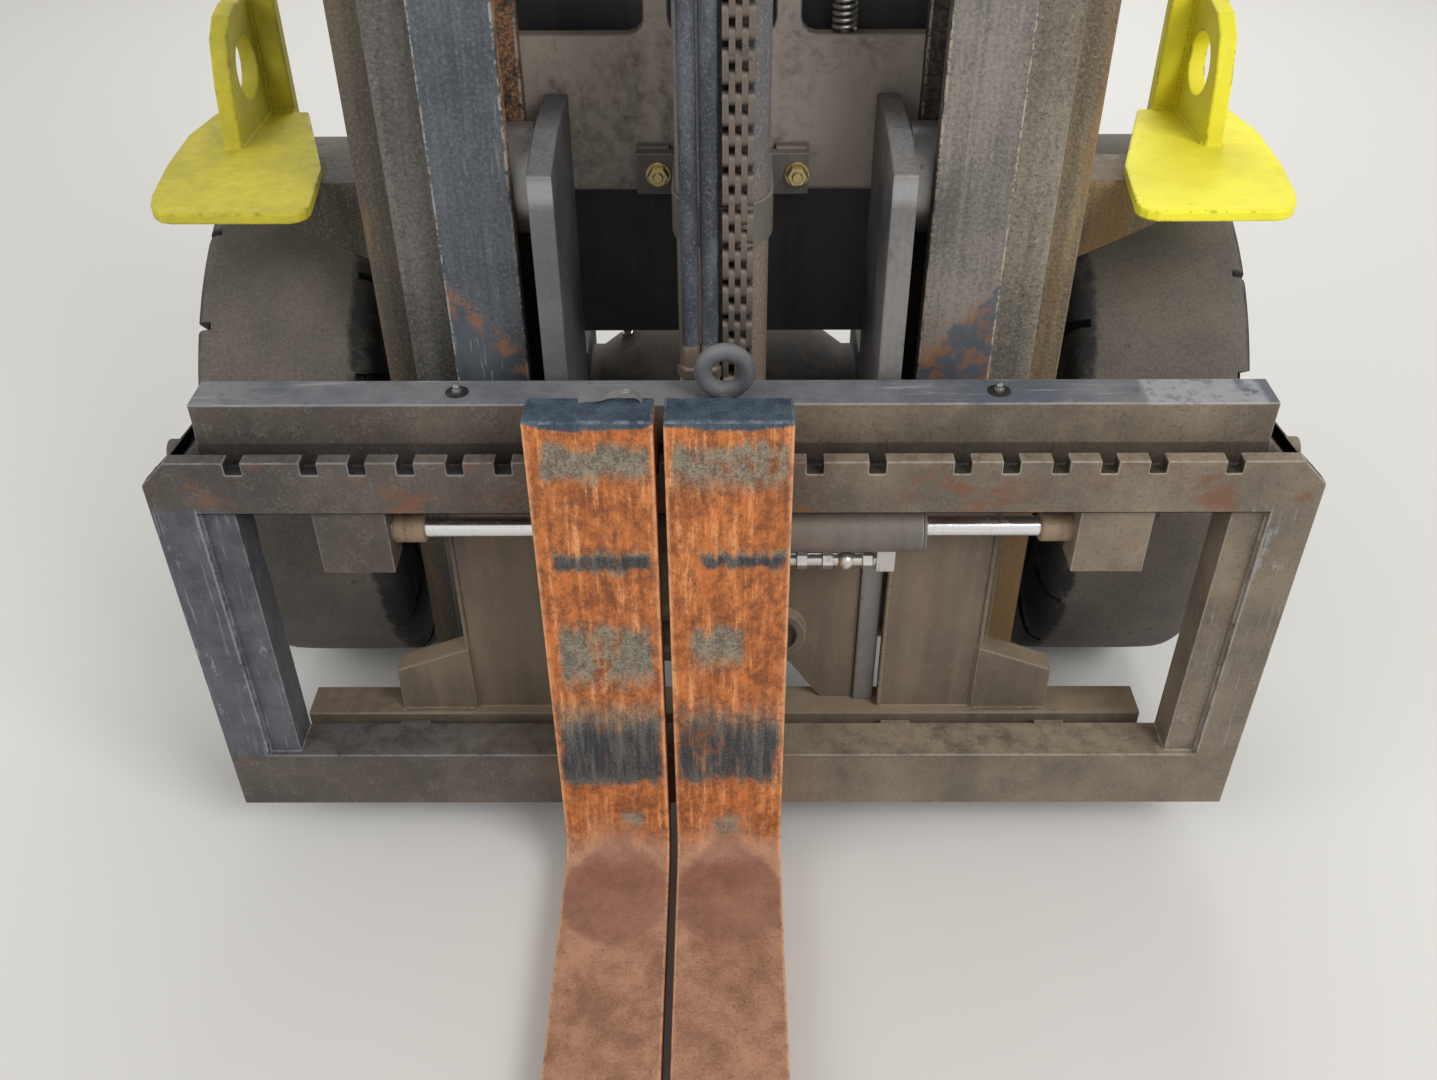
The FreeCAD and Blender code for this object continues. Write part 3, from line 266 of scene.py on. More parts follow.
# %% Worn paint for faces and edges
def two_coats(name, build, rubbed, *more, **named):
    """Two materials from one function: the faces, and the edges, which are rubbed; on the forks the edges are
    painted pale, as highlight.
    """
    return [build(Finish(name + "_" + place), share, *more, **named)
            for place, share in (("faces", 0.0), ("edges", rubbed))]


def worn_coat(finish, rubbed, body, faded, dust, bare, settled=0.7, scuffed=0.5, gloss=0.55, powder=None):
    """Paint with clouds, grit, scratches and lying dust. The last colour is dust and painted sunlight on what
    faces the front.
    """
    clouds = finish.noise(4.5, 7, 0.65)
    runs = finish.noise(30, 5, 0.6, (1, 1, 0.1))
    grain = finish.noise(260, 4, 0.7)
    spots = finish.noise(60, 8, 0.75)
    colour = (clouds * 0.55 + runs * 0.45).step(0.38, 0.62).mix(body, faded)
    colour = ((grain * 0.6 + spots * 0.4).step(0.52, 0.68) * 0.35).mix(colour, dust)
    scratch = finish.noise(70, 7, 0.72, (1, 1, 0.3), 3.0).step(0.61 - rubbed * 0.3, 0.66)
    colour = (scratch * scuffed).mix(colour, bare)
    lying = finish.facing("Z").step(0.25, 0.95) * (clouds + spots * 0.5).step(0.45, 0.85)
    colour = (lying * settled).mix(colour, dust)
    worn = spots.step(0.62 - rubbed, 0.70 - rubbed * 0.6)
    # Faces turned to the front get dust and painted sunlight, which lighten them.
    if powder is not None:
        patchy = (clouds * 0.4 + spots * 0.4 + runs * 0.2).step(0.34, 0.52)
        colour = (finish.front(0.5, 0.9) * patchy * 0.85).mix(colour, powder)
    if rubbed:
        colour = (worn * 0.8).mix(colour, bare)
    rough = gloss + 0.25 * lying + 0.15 * grain - 0.12 * scratch
    return finish.coat(colour, rough, None, grain * 0.5 + spots * 0.5 + scratch * -0.25, 0.0007)


def worn_paint(name, *colours, **wear):
    return two_coats(name, worn_coat, 0.34, *colours, **wear)


# %% The paints of the carriage, cross plates, axle and cylinders
carriage_paint = worn_paint("carriage_paint", shade(92, 82, 71), shade(118, 104, 88), shade(150, 132, 108),
                            shade(128, 116, 102), scuffed=0.25)
# The mast paint's front faces are lightened with dust and painted sunlight.
mast_paint = worn_paint("mast_paint", shade(92, 86, 81), shade(120, 112, 104), shade(140, 128, 112),
                        shade(124, 118, 112), scuffed=0.3, powder=shade(188, 176, 164))
# The mast paint again, painted darker as shade, for the cross plates of the middle and outer stages.
deep_paint = worn_paint("deep_paint", shade(58, 58, 62), shade(84, 81, 80), shade(110, 101, 90),
                        shade(104, 102, 100), scuffed=0.2)
axle_paint = worn_paint("axle_paint", shade(27, 33, 43), shade(40, 46, 56), shade(104, 94, 82),
                        shade(70, 72, 76), settled=0.85, scuffed=0.15)
barrel_paint = worn_paint("barrel_paint", shade(92, 88, 85), shade(120, 112, 104), shade(140, 128, 112),
                          shade(142, 140, 136), scuffed=0.3, gloss=0.45)
rim_paint = worn_paint("rim_paint", shade(104, 101, 98), shade(128, 122, 114), shade(146, 132, 114),
                       shade(116, 84, 62), scuffed=0.4)
print("paints made", len(bpy.data.materials))

# %% [markdown]
# ## The side shifter's paint
# This frame takes the knocks, so its wear follows its shape. It is painted darker grey on the left,
# as shade, and lighter tan on the right, as sunlight, where dust lies too. The beam's top is scored
# along its length, the posts are scored from top to foot, the notched lip has brown rust, and the
# notches and groove are painted near black, as shadow.

# %% Side shifter paint
# Heights on the frame, and how far its posts stand from its middle, in metres.
LIP_FOOT = 0.517
LIP_TOP = 0.584
SLOT_FOOT = 0.5535
SLOT_TOP = 0.5815
POST_FOOT = 0.161
POST_TOP = 0.525
POST_NEAR = 0.517
POST_JOINT = 0.556
SHIFT = (bar_low.x + bar_high.x) / 2


def shifter_coat(finish, rubbed):
    across = finish.along("X")
    depth = finish.along("Y")
    height = finish.along("Z")
    clouds = finish.noise(5, 7, 0.65)
    spots = finish.noise(48, 8, 0.75)
    grain = finish.noise(280, 4, 0.7)
    # Painted light: the left is painted darker grey, as shade, and the right lighter tan, as sunlight.
    sunlit_right = (across + (clouds - 0.5) * 0.5).step(-0.45, 0.35)
    shaded_left = clouds.step(0.36, 0.64).mix(shade(62, 56, 52), shade(86, 78, 71))
    tan = clouds.step(0.36, 0.64).mix(shade(94, 85, 75), shade(130, 116, 98))
    colour = sunlit_right.mix(shaded_left, tan)
    colour = ((grain * 0.5 + spots * 0.5).step(0.50, 0.66) * 0.35).mix(colour, shade(138, 130, 118))
    colour = (grain.step(0.46, 0.34) * 0.4).mix(colour, shade(48, 45, 43))
    lip = height.band(LIP_FOOT, LIP_TOP, 0.01) * depth.step(FACE + 0.03, FACE + 0.01)
    rust = finish.noise(17, 7, 0.7, (0.8, 1, 1), 8.0).step(0.52, 0.66) * (lip * 0.75 + 0.12)
    colour = rust.mix(colour, shade(112, 74, 50))
    aside = abs(across - SHIFT)
    post = aside.step(POST_NEAR - 0.005, POST_NEAR + 0.005) * height.band(POST_FOOT, POST_TOP, 0.006)
    left = across.step(0.1, -0.1)
    blue = (clouds * 0.5 + spots * 0.5).step(0.40, 0.60).mix(shade(60, 65, 73), shade(84, 88, 95))
    colour = (post * left * 0.85).mix(colour, blue)
    down = finish.noise(210, 6, 0.72, (1, 1, 0.06), 3.0).step(0.55, 0.66)
    colour = (down * (post * 0.5 + 0.05)).mix(colour, shade(132, 137, 144))
    knocks = finish.noise(34, 8, 0.78, (1, 1, 0.4), 21.0).step(0.60, 0.64)
    colour = (knocks * post * 0.55).mix(colour, shade(146, 150, 156))
    joint = (aside + (spots - 0.5) * 0.004).band(POST_JOINT - 0.001, POST_JOINT + 0.001, 0.0008) * post
    colour = (joint * spots.step(0.40, 0.5) * 0.6).mix(colour, shade(150, 154, 158))
    on_top = height.step(BEAM_TOP - 0.003, BEAM_TOP - 0.001)
    along = finish.noise(90, 7, 0.72, (0.07, 1, 1), 5.0).step(0.54, 0.66)
    top = clouds.step(0.4, 0.62).mix(shade(90, 94, 104), shade(126, 125, 127))
    top = (along * 0.6).mix(top, shade(168, 166, 164))
    top = (spots.step(0.56, 0.68) * 0.5).mix(top, shade(74, 72, 71))
    pale = across.band(0.43, 0.55, 0.004) * spots.step(0.38, 0.5)
    top = (pale * 0.6).mix(top, shade(176, 178, 182))
    colour = on_top.mix(colour, top)
    # Dust lies on what faces up; on the right it is also painted lighter and warmer, as sunlight.
    lying = finish.facing("Z").step(0.4, 0.95) * (1.0 - on_top) * spots.step(0.36, 0.6)
    colour = (lying * 0.55).mix(colour, sunlit_right.mix(shade(96, 93, 92), shade(158, 142, 118)))
    # The notches and the groove behind the lip are painted near black, as shadow.
    slot = depth.step(FACE + 0.0008, FACE + 0.0022) * depth.step(FACE + 0.0415, FACE + 0.039)
    slot = slot * height.band(SLOT_FOOT, SLOT_TOP, 0.0012)
    colour = (slot * 0.85).mix(colour, shade(26, 24, 23))
    # Bare metal on the edges is painted lighter and warmer on the right, as sunlight.
    if rubbed:
        bare = spots.step(0.62 - rubbed, 0.70 - rubbed * 0.5) * (1.0 - slot)
        colour = (bare * 0.6).mix(colour, sunlit_right.mix(shade(128, 132, 138), shade(164, 156, 142)))
    rough = 0.5 + 0.25 * lying + 0.2 * grain - 0.15 * down
    height_map = grain * 0.5 + spots * 0.6 - down * 0.25 - along * on_top * 0.2
    return finish.coat(colour, rough, None, height_map, 0.0008)


frame_paint = two_coats("shifter_paint", shifter_coat, 0.30)
eye_paint = worn_paint("eye_paint", shade(74, 75, 80), shade(104, 106, 112), shade(130, 128, 126),
                       shade(150, 152, 156), scuffed=0.5)

# %% [markdown]
# ## Cheeks that the rollers carry
# The roller cheeks are steel rubbed smooth along their front: pale, with brushed lines running
# up, and a painted highlight, a bright band, just under the sloped top. The right cheek is
# painted lighter than the left, as sunlight.

# %% Roller cheeks
def cheek_steel():
    finish = Finish("cheek_steel", metallic=0.35)
    height = finish.along("Z")
    clouds = finish.noise(9, 6, 0.6)
    brushed = finish.noise(260, 3, 0.6, (1, 1, 0.02))
    cheek_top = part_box("roller_cheek_right")[1].z
    grain = finish.noise(220, 5, 0.75)
    worn = (clouds * 0.5 + brushed * 0.15 + grain * 0.35).step(0.38, 0.6)
    front = finish.front(0.3, 0.8)
    # The right cheek is painted lighter and warmer than the left, as sunlight.
    right = finish.along("X").step(-0.1, 0.2)
    colour = worn.mix(shade(72, 73, 77), right.mix(shade(106, 106, 108), shade(126, 123, 120)))
    colour = (front * 0.4).mix(colour, right.mix(shade(124, 123, 123), shade(150, 146, 142)))
    # A painted highlight: a pale band on the front just under the sloped top.
    bright = height.band(cheek_top - 0.045, cheek_top - 0.02, 0.008) * front
    colour = (bright * 0.5).mix(colour, shade(180, 180, 182))
    stains = finish.noise(28, 7, 0.7, (1, 1, 0.35), 7.0).step(0.6, 0.7)
    colour = (stains * 0.5).mix(colour, shade(86, 70, 56))
    return finish.coat(colour, 0.42 + 0.2 * clouds, None, brushed * 0.15 + clouds * 0.3 + grain * 0.3, 0.0006)


cheek_steel = cheek_steel()

# %% [markdown]
# ## Rails
# The inner rails' front flanges are polished grey by the bars that slide past them, with fine
# upright lines. Near the foot they still wear blue-grey paint, and a ragged rust line slants
# between the two. The outer stages never rub: they are greasy and carry grit, which shows as
# speckles, and brown stains run down them. Both are driven by height on the mast.

# %% Rails of the inner stage
# Where the front flange ends behind, its inner edge, and where the rust line crosses that edge.
FLANGE_REAR = 0.340
FLANGE_EDGE = 0.201
RUST_LEVEL = 0.613
RUST_SLOPE = 1.1


def inner_rail_coat(finish, chipped):
    side = finish.along("X")
    across = abs(side)
    height = finish.along("Z")
    clouds = finish.noise(7, 6, 0.6)
    brushed = finish.noise(210, 5, 0.68, (1, 1, 0.02))
    grain = finish.noise(260, 4, 0.75)
    scratch = finish.noise(130, 6, 0.7, (1, 1, 0.14), 2.0).step(0.60, 0.66)
    ragged = finish.noise(38, 7, 0.7)
    front = finish.front(0.4, 0.9) * finish.along("Y").step(FLANGE_REAR + 0.005, FLANGE_REAR - 0.005)
    # The right rail's steel is painted lighter and warmer, as sunlight, the left one darker and bluer, as
    # shade.
    right = side.step(-0.1, 0.2)
    dull = right.mix(shade(66, 71, 78), shade(96, 92, 88))
    bright = right.mix(shade(100, 104, 110), shade(146, 139, 132))
    steel = (brushed * 0.22 + clouds * 0.38 + grain * 0.4).step(0.40, 0.60).mix(dull, bright)
    steel = (scratch * 0.3).mix(steel, shade(150, 150, 148))
    steel = (grain.step(0.60, 0.68) * 0.5).mix(steel, shade(140, 136, 128))
    line = height - (across - FLANGE_EDGE) * RUST_SLOPE - RUST_LEVEL + (ragged - 0.5) * 0.085
    painted = line.step(0.006, -0.006)
    paint = clouds.step(0.4, 0.62).mix(shade(60, 66, 75), shade(84, 90, 97))
    paint = (scratch * 0.6).mix(paint, shade(146, 146, 144))
    colour = painted.mix(steel, paint)
    rust = line.band(-0.014, 0.012, 0.012) * (ragged + grain * 0.3).step(0.56, 0.72)
    foot = height.step(0.68, 0.66) * right * ragged.step(0.5, 0.62)
    rust = rust.most(foot * 0.8)
    colour = (rust * 0.8).mix(colour, shade(142, 96, 60))
    grease = finish.noise(190, 5, 0.7).step(0.4, 0.62).mix(shade(48, 44, 41), shade(86, 79, 71))
    inside = side.step(-0.1, -0.2) * (height + (ragged - 0.5) * 0.08).step(0.72, 0.76)
    inside = inside * height.step(1.7, 1.1) * (ragged + grain * 0.3).step(0.54, 0.7)
    brown = grain.step(0.42, 0.6).mix(shade(98, 74, 56), shade(172, 128, 92))
    grease = inside.mix(grease, brown)
    colour = front.mix(grease, colour)
    # Chips are painted lighter on the right, as sunlight.
    if chipped:
        flecks = (grain * 0.5 + ragged * 0.5).step(0.47, 0.55)
        colour = (flecks * 0.75).mix(colour, right.mix(shade(168, 168, 164), shade(186, 174, 152)))
    metal = front * (1.0 - painted) * (1.0 - rust) * 0.4
    rough = 0.66 - front * 0.22 + 0.15 * clouds + rust * 0.2
    return finish.coat(colour, rough, metal,
                       brushed * 0.3 + ragged * 0.4 + scratch * -0.3 + grain * 0.2, 0.0006)


inner_rail_steel = two_coats("inner_rail", inner_rail_coat, 1.0)


# %% Rails of the middle and outer stages
def gritty_rail_steel(name, dark, light, sunlit_dark, sunlit_light, ochre):
    finish = Finish(name)
    clouds = finish.noise(6, 6, 0.6)
    grit = finish.noise(300, 4, 0.85)
    lumps = finish.cells(150)
    runs = finish.noise(30, 6, 0.7, (1, 1, 0.05))
    front = finish.front(0.4, 0.9)
    # Rails on the right are painted lighter and warmer, as sunlight.
    right = finish.along("X").step(-0.1, 0.3)
    share = (runs * 0.6 + clouds * 0.4).step(0.38, 0.62)
    colour = share.mix(right.mix(dark, sunlit_dark), right.mix(light, sunlit_light))
    colour = (grit.step(0.53, 0.64) * 0.55).mix(colour, right.mix(shade(134, 129, 120), shade(176, 164, 142)))
    colour = (grit.step(0.46, 0.36) * 0.7).mix(colour, shade(42, 38, 34))
    stain = (finish.noise(13, 6, 0.65, (1, 1, 0.12), 9.0) + right * 0.07).step(0.52, 0.66)
    colour = (stain * 0.6).mix(colour, ochre)
    # Faces that don't look to the front are painted darker, as shade.
    colour = ((1.0 - front) * 0.45).mix(colour, shade(52, 49, 46))
    return finish.coat(colour, 0.72 - 0.12 * runs, None, grit * 0.7 + lumps * 0.5 + clouds * 0.5, 0.0013)


# Each rail's third and fourth colours are its right side painted lighter, as sunlight.
mid_rail_steel = gritty_rail_steel("mid_rail_steel", shade(72, 70, 67), shade(104, 101, 96),
                                   shade(98, 93, 84), shade(140, 132, 118), shade(112, 92, 66))
outer_rail_steel = gritty_rail_steel("outer_rail_steel", shade(66, 61, 54), shade(98, 88, 72),
                                     shade(104, 92, 74), shade(152, 132, 98), shade(150, 112, 62))

# %% [markdown]
# ## Rusted forks
# The forks are the warmest thing in the picture. Their shanks are orange rust drawn out in
# upright streaks, crossed by bands where dark paint is left, and their tops are still painted.
# The blades are browner and smoother, and the heel has a rubbed oval. Bands stop short of the
# fork's edges, so each fork has a material that knows its middle.

# %% Fork finish
# Height above which a fork's top is still painted, and zones of old paint on its front. Columns:
# foot, how firm its edge is, top, how soft its edge is, how much of the paint is left, and where
# it starts and ends across each fork, from -1 at its left edge to 1 at its right one.
TIP_PAINT = 0.6565
PAINT_LEFT = {
    "left": ((0.480, 0.005, 0.505, 0.006, 0.95, -0.72, 0.9), (0.325, 0.02, 0.402, 0.012, 0.8, -0.75, 0.85),
             (0.162, 0.006, 0.282, 0.03, 1.0, -1.1, 1.1), (0.598, 0.012, 0.632, 0.008, 0.85, -0.75, 0.95),
             (0.090, 0.005, 0.114, 0.006, 0.9, 0.12, 0.55)),
    "right": ((0.484, 0.006, 0.506, 0.008, 0.85, -0.45, 1.1), (0.352, 0.02, 0.400, 0.012, 0.85, -0.62, 0.25),
              (0.166, 0.01, 0.276, 0.03, 0.95, -1.1, 1.0), (0.588, 0.018, 0.634, 0.008, 0.85, -0.9, 1.1),
              (0.066, 0.008, 0.104, 0.010, 0.9, -0.3, 0.2))}


def fork_coat(finish, rubbed, side):
    low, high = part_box("fork_" + side)
    middle = (low.x + high.x) / 2
    half = (high.x - low.x) / 2
    own = 2.0 if side == "left" else 11.0
    height = finish.along("Z")
    depth = finish.along("Y")
    across = (finish.along("X") - middle) / half
    edge = abs(across)
    drips = finish.noise(120, 6, 0.72, (1, 0.6, 0.09), own)
    blots = finish.noise(17, 8, 0.7, (1, 1, 0.6), own)
    mottle = finish.noise(85, 8, 0.8, (1, 1, 0.7), own)
    grain = finish.noise(330, 4, 0.8)
    ragged = finish.noise(42, 8, 0.75, (1, 1, 0.5), own + 4)
    patchy = (mottle * 0.45 + drips * 0.3 + blots * 0.25).step(0.40, 0.60)
    rust = patchy.mix(shade(132, 74, 40), shade(210, 126, 66))
    rust = ((drips * 0.8 + mottle * 0.2).step(0.53, 0.64) * 0.65).mix(rust, shade(230, 168, 116))
    rust = ((blots * 0.6 + mottle * 0.4).step(0.54, 0.66) * 0.6).mix(rust, shade(200, 92, 40))
    rust = ((grain * 0.6 + mottle * 0.4).step(0.50, 0.40) * 0.65).mix(rust, shade(92, 68, 50))
    rust = (mottle.step(0.60, 0.70) * 0.4).mix(rust, shade(158, 146, 120))
    blade = (grain * 0.3 + blots * 0.7).step(0.38, 0.62).mix(shade(138, 98, 76), shade(184, 138, 110))
    blade = (mottle.step(0.55, 0.68) * 0.4).mix(blade, shade(188, 132, 96))
    blade = ((grain * 0.5 + mottle * 0.5).step(0.46, 0.38) * 0.5).mix(blade, shade(88, 62, 52))
    upright = (height + (ragged - 0.5) * 0.06).step(0.045, 0.09)
    colour = upright.mix(blade, rust)
    inset = (edge + (ragged - 0.5) * 0.7).step(1.02, 0.82)
    left = 0.0
    for foot, firm, top, soft, share, start, end in PAINT_LEFT[side]:
        level = height + (ragged - 0.5) * 0.06 + (drips - 0.5) * 0.04
        rise = level.step(foot - firm, foot + firm) * level.step(top + soft, top - soft)
        broken = (mottle * 0.6 + blots * 0.7).step(0.66 - share * 0.22, 0.76 - share * 0.16)
        left = rise * broken * (across + (ragged - 0.5) * 0.5).band(start, end, 0.07) + left
    left = (left * inset).least(1.0)
    deep = (height + (drips - 0.5) * 0.06).band(0.155, 0.262, 0.03).most(height.band(0.48, 0.50, 0.005))
    old_paint = (mottle * 0.5 + grain * 0.5).step(0.42, 0.58).mix(shade(84, 86, 80), shade(146, 138, 118))
    dark_paint = (drips * 0.6 + grain * 0.4).step(0.44, 0.60).mix(shade(36, 46, 54), shade(92, 94, 90))
    colour = (left * 0.97).mix(colour, deep.mix(old_paint, dark_paint))
    oval = ((depth - (FACE - 0.115)) / 0.07) ** 2.0 + (edge * 0.95) ** 2.0
    heel = (oval + (ragged - 0.5) * 0.8).step(1.1, 0.8) * height.step(0.10, 0.06)
    rim = (oval + (ragged - 0.5) * 0.9).band(0.9, 1.25, 0.2) * height.step(0.12, 0.08)
    rim = rim * depth.step(FACE - 0.17, FACE - 0.09)
    colour = (rim * 0.28).mix(colour, shade(206, 160, 128))
    colour = (heel * 0.5).mix(colour, mottle.mix(shade(100, 68, 58), shade(150, 100, 84)))
    # A painted highlight: the shank's side edges are painted pale orange.
    rail = (edge + (mottle - 0.5) * 0.12).step(0.90, 0.98) * upright
    colour = (rail * 0.4).mix(colour, shade(226, 160, 112))
    sag = (1.0 - edge * edge) * -0.006 + (ragged - 0.5) * 0.018
    tip = (height - sag).step(TIP_PAINT - 0.002, TIP_PAINT + 0.002)
    navy = (grain * 0.4 + ragged * 0.6).step(0.4, 0.62).mix(shade(40, 54, 70), shade(78, 92, 104))
    navy = (mottle.step(0.60, 0.68) * 0.6).mix(navy, shade(138, 132, 118))
    # On the rounded edges the rust and the navy are painted pale, as highlight.
    if rubbed:
        colour = (mottle.step(0.40, 0.55) * 0.6).mix(colour, shade(226, 168, 124))
        navy = (mottle.step(0.46, 0.56) * 0.6).mix(navy, shade(120, 128, 134))
    colour = tip.mix(colour, navy)
    rough = 0.88 - tip * 0.3 - heel * 0.25 - left * 0.15
    return finish.coat(colour, rough, None,
                       drips * 0.35 + mottle * 0.5 + grain * 0.5 - left * 0.2, 0.0014)


fork_finish = {side: two_coats("fork_rust_" + side, fork_coat, 1.0, side) for side in ("left", "right")}

# %% [markdown]
# ## Yellow lugs
# The lifting lugs were sprayed bright yellow not long ago. Grime gathers along scratches, and
# their edges are chipped to a darker steel. The left lug is painted a darker olive, as shade.

# %% Lug paint
def lug_coat(finish, chipped):
    clouds = finish.noise(11, 6, 0.6)
    grime = finish.noise(45, 8, 0.75)
    fine = finish.noise(320, 4, 0.7)
    scratch = finish.noise(85, 8, 0.78, (0.6, 1, 1), 6.0).step(0.63, 0.68)
    # Painted shade: the left lug is painted darker olive.
    left = finish.along("X").step(0.1, -0.1)
    colour = clouds.step(0.35, 0.65).mix(shade(226, 214, 38), shade(240, 232, 52))
    colour = (grime.step(0.60, 0.72) * 0.4).mix(colour, shade(150, 140, 40))
    shaded_left_yellow = (clouds * 0.5 + grime * 0.5).step(0.36, 0.62).mix(shade(190, 178, 44), shade(158, 146, 42))
    colour = (left * 0.85).mix(colour, shaded_left_yellow)
    colour = (scratch * 0.4).mix(colour, shade(120, 112, 42))
    chips = grime.step(0.70 - chipped, 0.74 - chipped)
    if chipped:
        colour = (chips * 0.5).mix(colour, shade(122, 110, 40))
    return finish.coat(colour, 0.5 + 0.25 * grime, None,
                       fine * 0.4 + grime * 0.5 - chips * 0.2, 0.0006)


lug_yellow = two_coats("lug_yellow", lug_coat, 0.16)

# %% [markdown]
# ## The barrel behind the chain
# The free lift barrel stands right behind the chain, and its front is painted near black in a strip
# as wide as the chain. Away from that strip its grey paint is speckled with grit.

# %% Free lift barrel
def greasy_barrel():
    finish = Finish("greasy_barrel")
    clouds = finish.noise(8, 6, 0.65, (1, 1, 0.4))
    grit = finish.noise(290, 4, 0.85)
    runs = finish.noise(34, 6, 0.7, (1, 1, 0.06))
    low = (finish.along("Z") + (clouds - 0.5) * 0.2).step(0.86, 0.70)
    colour = (runs * 0.5 + clouds * 0.5).step(0.38, 0.62).mix(shade(98, 98, 101), shade(132, 128, 124))
    colour = (low * 0.6).mix(colour, shade(146, 120, 96))
    colour = (grit.step(0.53, 0.64) * 0.45).mix(colour, shade(176, 172, 166))
    colour = (grit.step(0.46, 0.36) * 0.6).mix(colour, shade(66, 62, 58))
    # A near-black strip is painted on the front, as wide as the chain and right behind it.
    behind = (finish.along("X") + (runs - 0.5) * 0.006).band(chain_low.x, chain_high.x, 0.002)
    colour = (behind * finish.front(0.2, 0.5)).mix(colour, shade(18, 16, 15))
    return finish.coat(colour, 0.6 + 0.2 * clouds, None, grit * 0.7 + runs * 0.2, 0.0008)


greasy_barrel = greasy_barrel()

# %% [markdown]
# ## Bright, oily and rubber parts
# Rods are plated and nearly mirrors, with a little dust that dulls them. Chain and rollers are
# oiled steel. Hoses are black rubber gone grey. Each has its own small function, because each
# real part looks different for its own reason.

# %% Metals
def bright_metal(name, colour, dull, rough, grime, metallic=1.0):
    finish = Finish(name, metallic=metallic)
    clouds = finish.noise(24, 6, 0.65)
    fine = finish.noise(240, 5, 0.7)
    share = (clouds * 0.6 + fine * 0.4).step(0.5, 0.68)
    tint = (share * grime).mix(colour, dull)
    return finish.coat(tint, rough + share * grime * 0.5, metallic - share * grime * 0.6, fine, 0.0002)


rod_chrome = bright_metal("rod_chrome", shade(232, 232, 232), shade(180, 172, 158), 0.16, 0.35)
roller_steel = bright_metal("roller_steel", shade(150, 148, 146), shade(74, 66, 58), 0.35, 0.9, 0.8)
chain_steel = bright_metal("chain_steel", shade(116, 106, 98), shade(62, 52, 44), 0.42, 0.95, 0.6)
zinc_steel = bright_metal("zinc_steel", shade(190, 172, 124), shade(118, 98, 64), 0.32, 0.7, 0.85)
plated_steel = bright_metal("plated_steel", shade(206, 204, 198), shade(120, 110, 96), 0.3, 0.7, 0.85)
rod_end_steel = bright_metal("rod_end_steel", shade(140, 120, 98), shade(98, 76, 58), 0.6, 0.8, 0.15)
nut_steel = bright_metal("nut_steel", shade(116, 104, 92), shade(108, 72, 48), 0.5, 0.9, 0.4)
black_grease = bright_metal("black_grease", shade(34, 31, 29), shade(70, 62, 54), 0.5, 0.6, 0.0)
hub_iron = bright_metal("hub_iron", shade(84, 80, 76), shade(98, 76, 58), 0.6, 0.9, 0.2)


# %% Rubber
def hose_rubber():
    finish = Finish("hose_rubber", roughness=0.6)
    clouds = finish.noise(30, 6, 0.65, (1, 1, 0.3))
    fine = finish.noise(420, 3, 0.7, (1, 1, 0.4))
    speckle = finish.noise(300, 4, 0.8)
    colour = clouds.step(0.40, 0.62).mix(shade(46, 50, 58), shade(80, 84, 90))
    colour = (speckle.step(0.52, 0.66) * 0.4).mix(colour, shade(134, 138, 142))
    colour = (speckle.step(0.46, 0.36) * 0.5).mix(colour, shade(36, 38, 43))
    return finish.coat(colour, 0.6 + 0.2 * clouds, None, fine + speckle, 0.0004)


def tyre_rubber():
    finish = Finish("tyre_rubber", roughness=0.85)
    back = finish.along("Y") - AXLE.y
    up = finish.along("Z") - AXLE.z
    radius = (back * back + up * up) ** 0.5
    wheel_middle = abs((axle_low.x + axle_high.x) / 2)
    aside = abs(finish.along("X")) - wheel_middle
    clouds = finish.noise(7, 7, 0.65)
    ragged = finish.noise(26, 8, 0.75)
    grain = finish.noise(260, 6, 0.78)
    nicks = finish.cells(24, (1, 0.5, 1)).step(0.14, 0.08) * clouds.step(0.52, 0.6)
    rubber = clouds.step(0.4, 0.65).mix(shade(24, 24, 25), shade(46, 44, 43))
    crown = (radius + (ragged - 0.5) * 0.02).step(TYRE_RADIUS - 0.012, TYRE_RADIUS - 0.004)
    inner = (aside + (ragged - 0.5) * 0.03).step(-0.082, -0.072)
    tread = crown * inner
    dusty = (clouds * 0.45 + grain * 0.55).step(0.38, 0.62).mix(shade(80, 75, 71), shade(108, 100, 91))
    lying = finish.noise(12, 7, 0.7).step(0.45, 0.7) * aside.step(-0.02, 0.06) * 0.6
    colour = lying.mix(rubber, shade(104, 95, 84))
    colour = ((ragged + grain * 0.3).step(0.66, 0.78) * 0.4).mix(colour, shade(92, 86, 79))
    colour = tread.mix(colour, dusty)
    colour = (nicks * 0.5).mix(colour, shade(44, 41, 39))
    # The cuts' insides are painted near black, darker than the rubber, as shade.
    deep = radius.step(TYRE_RADIUS - 0.006, TYRE_RADIUS - 0.012) * inner * abs(aside).step(0.092, 0.088)
    colour = deep.mix(colour, shade(20, 19, 19))
    height = grain * 0.6 + clouds * 0.4 - nicks * 0.6
    return finish.coat(colour, 0.8 + 0.12 * grain, None, height, 0.0016)


hose_rubber = hose_rubber()
tyre_rubber = tyre_rubber()
print("finishes made", len(bpy.data.materials))

# %% [markdown]
# ## Rounded edges
# Real plate has no knife edges: a small round catches the light, and paint wears off there
# first. A model's triangles are loose, so each node first gets a Weld, then a Decimate that joins
# the triangles of one flat face. Next a Bevel gives its new faces the second material, and at
# last normals are weighted by area, so that the flats stay flat. The solid isn't touched.

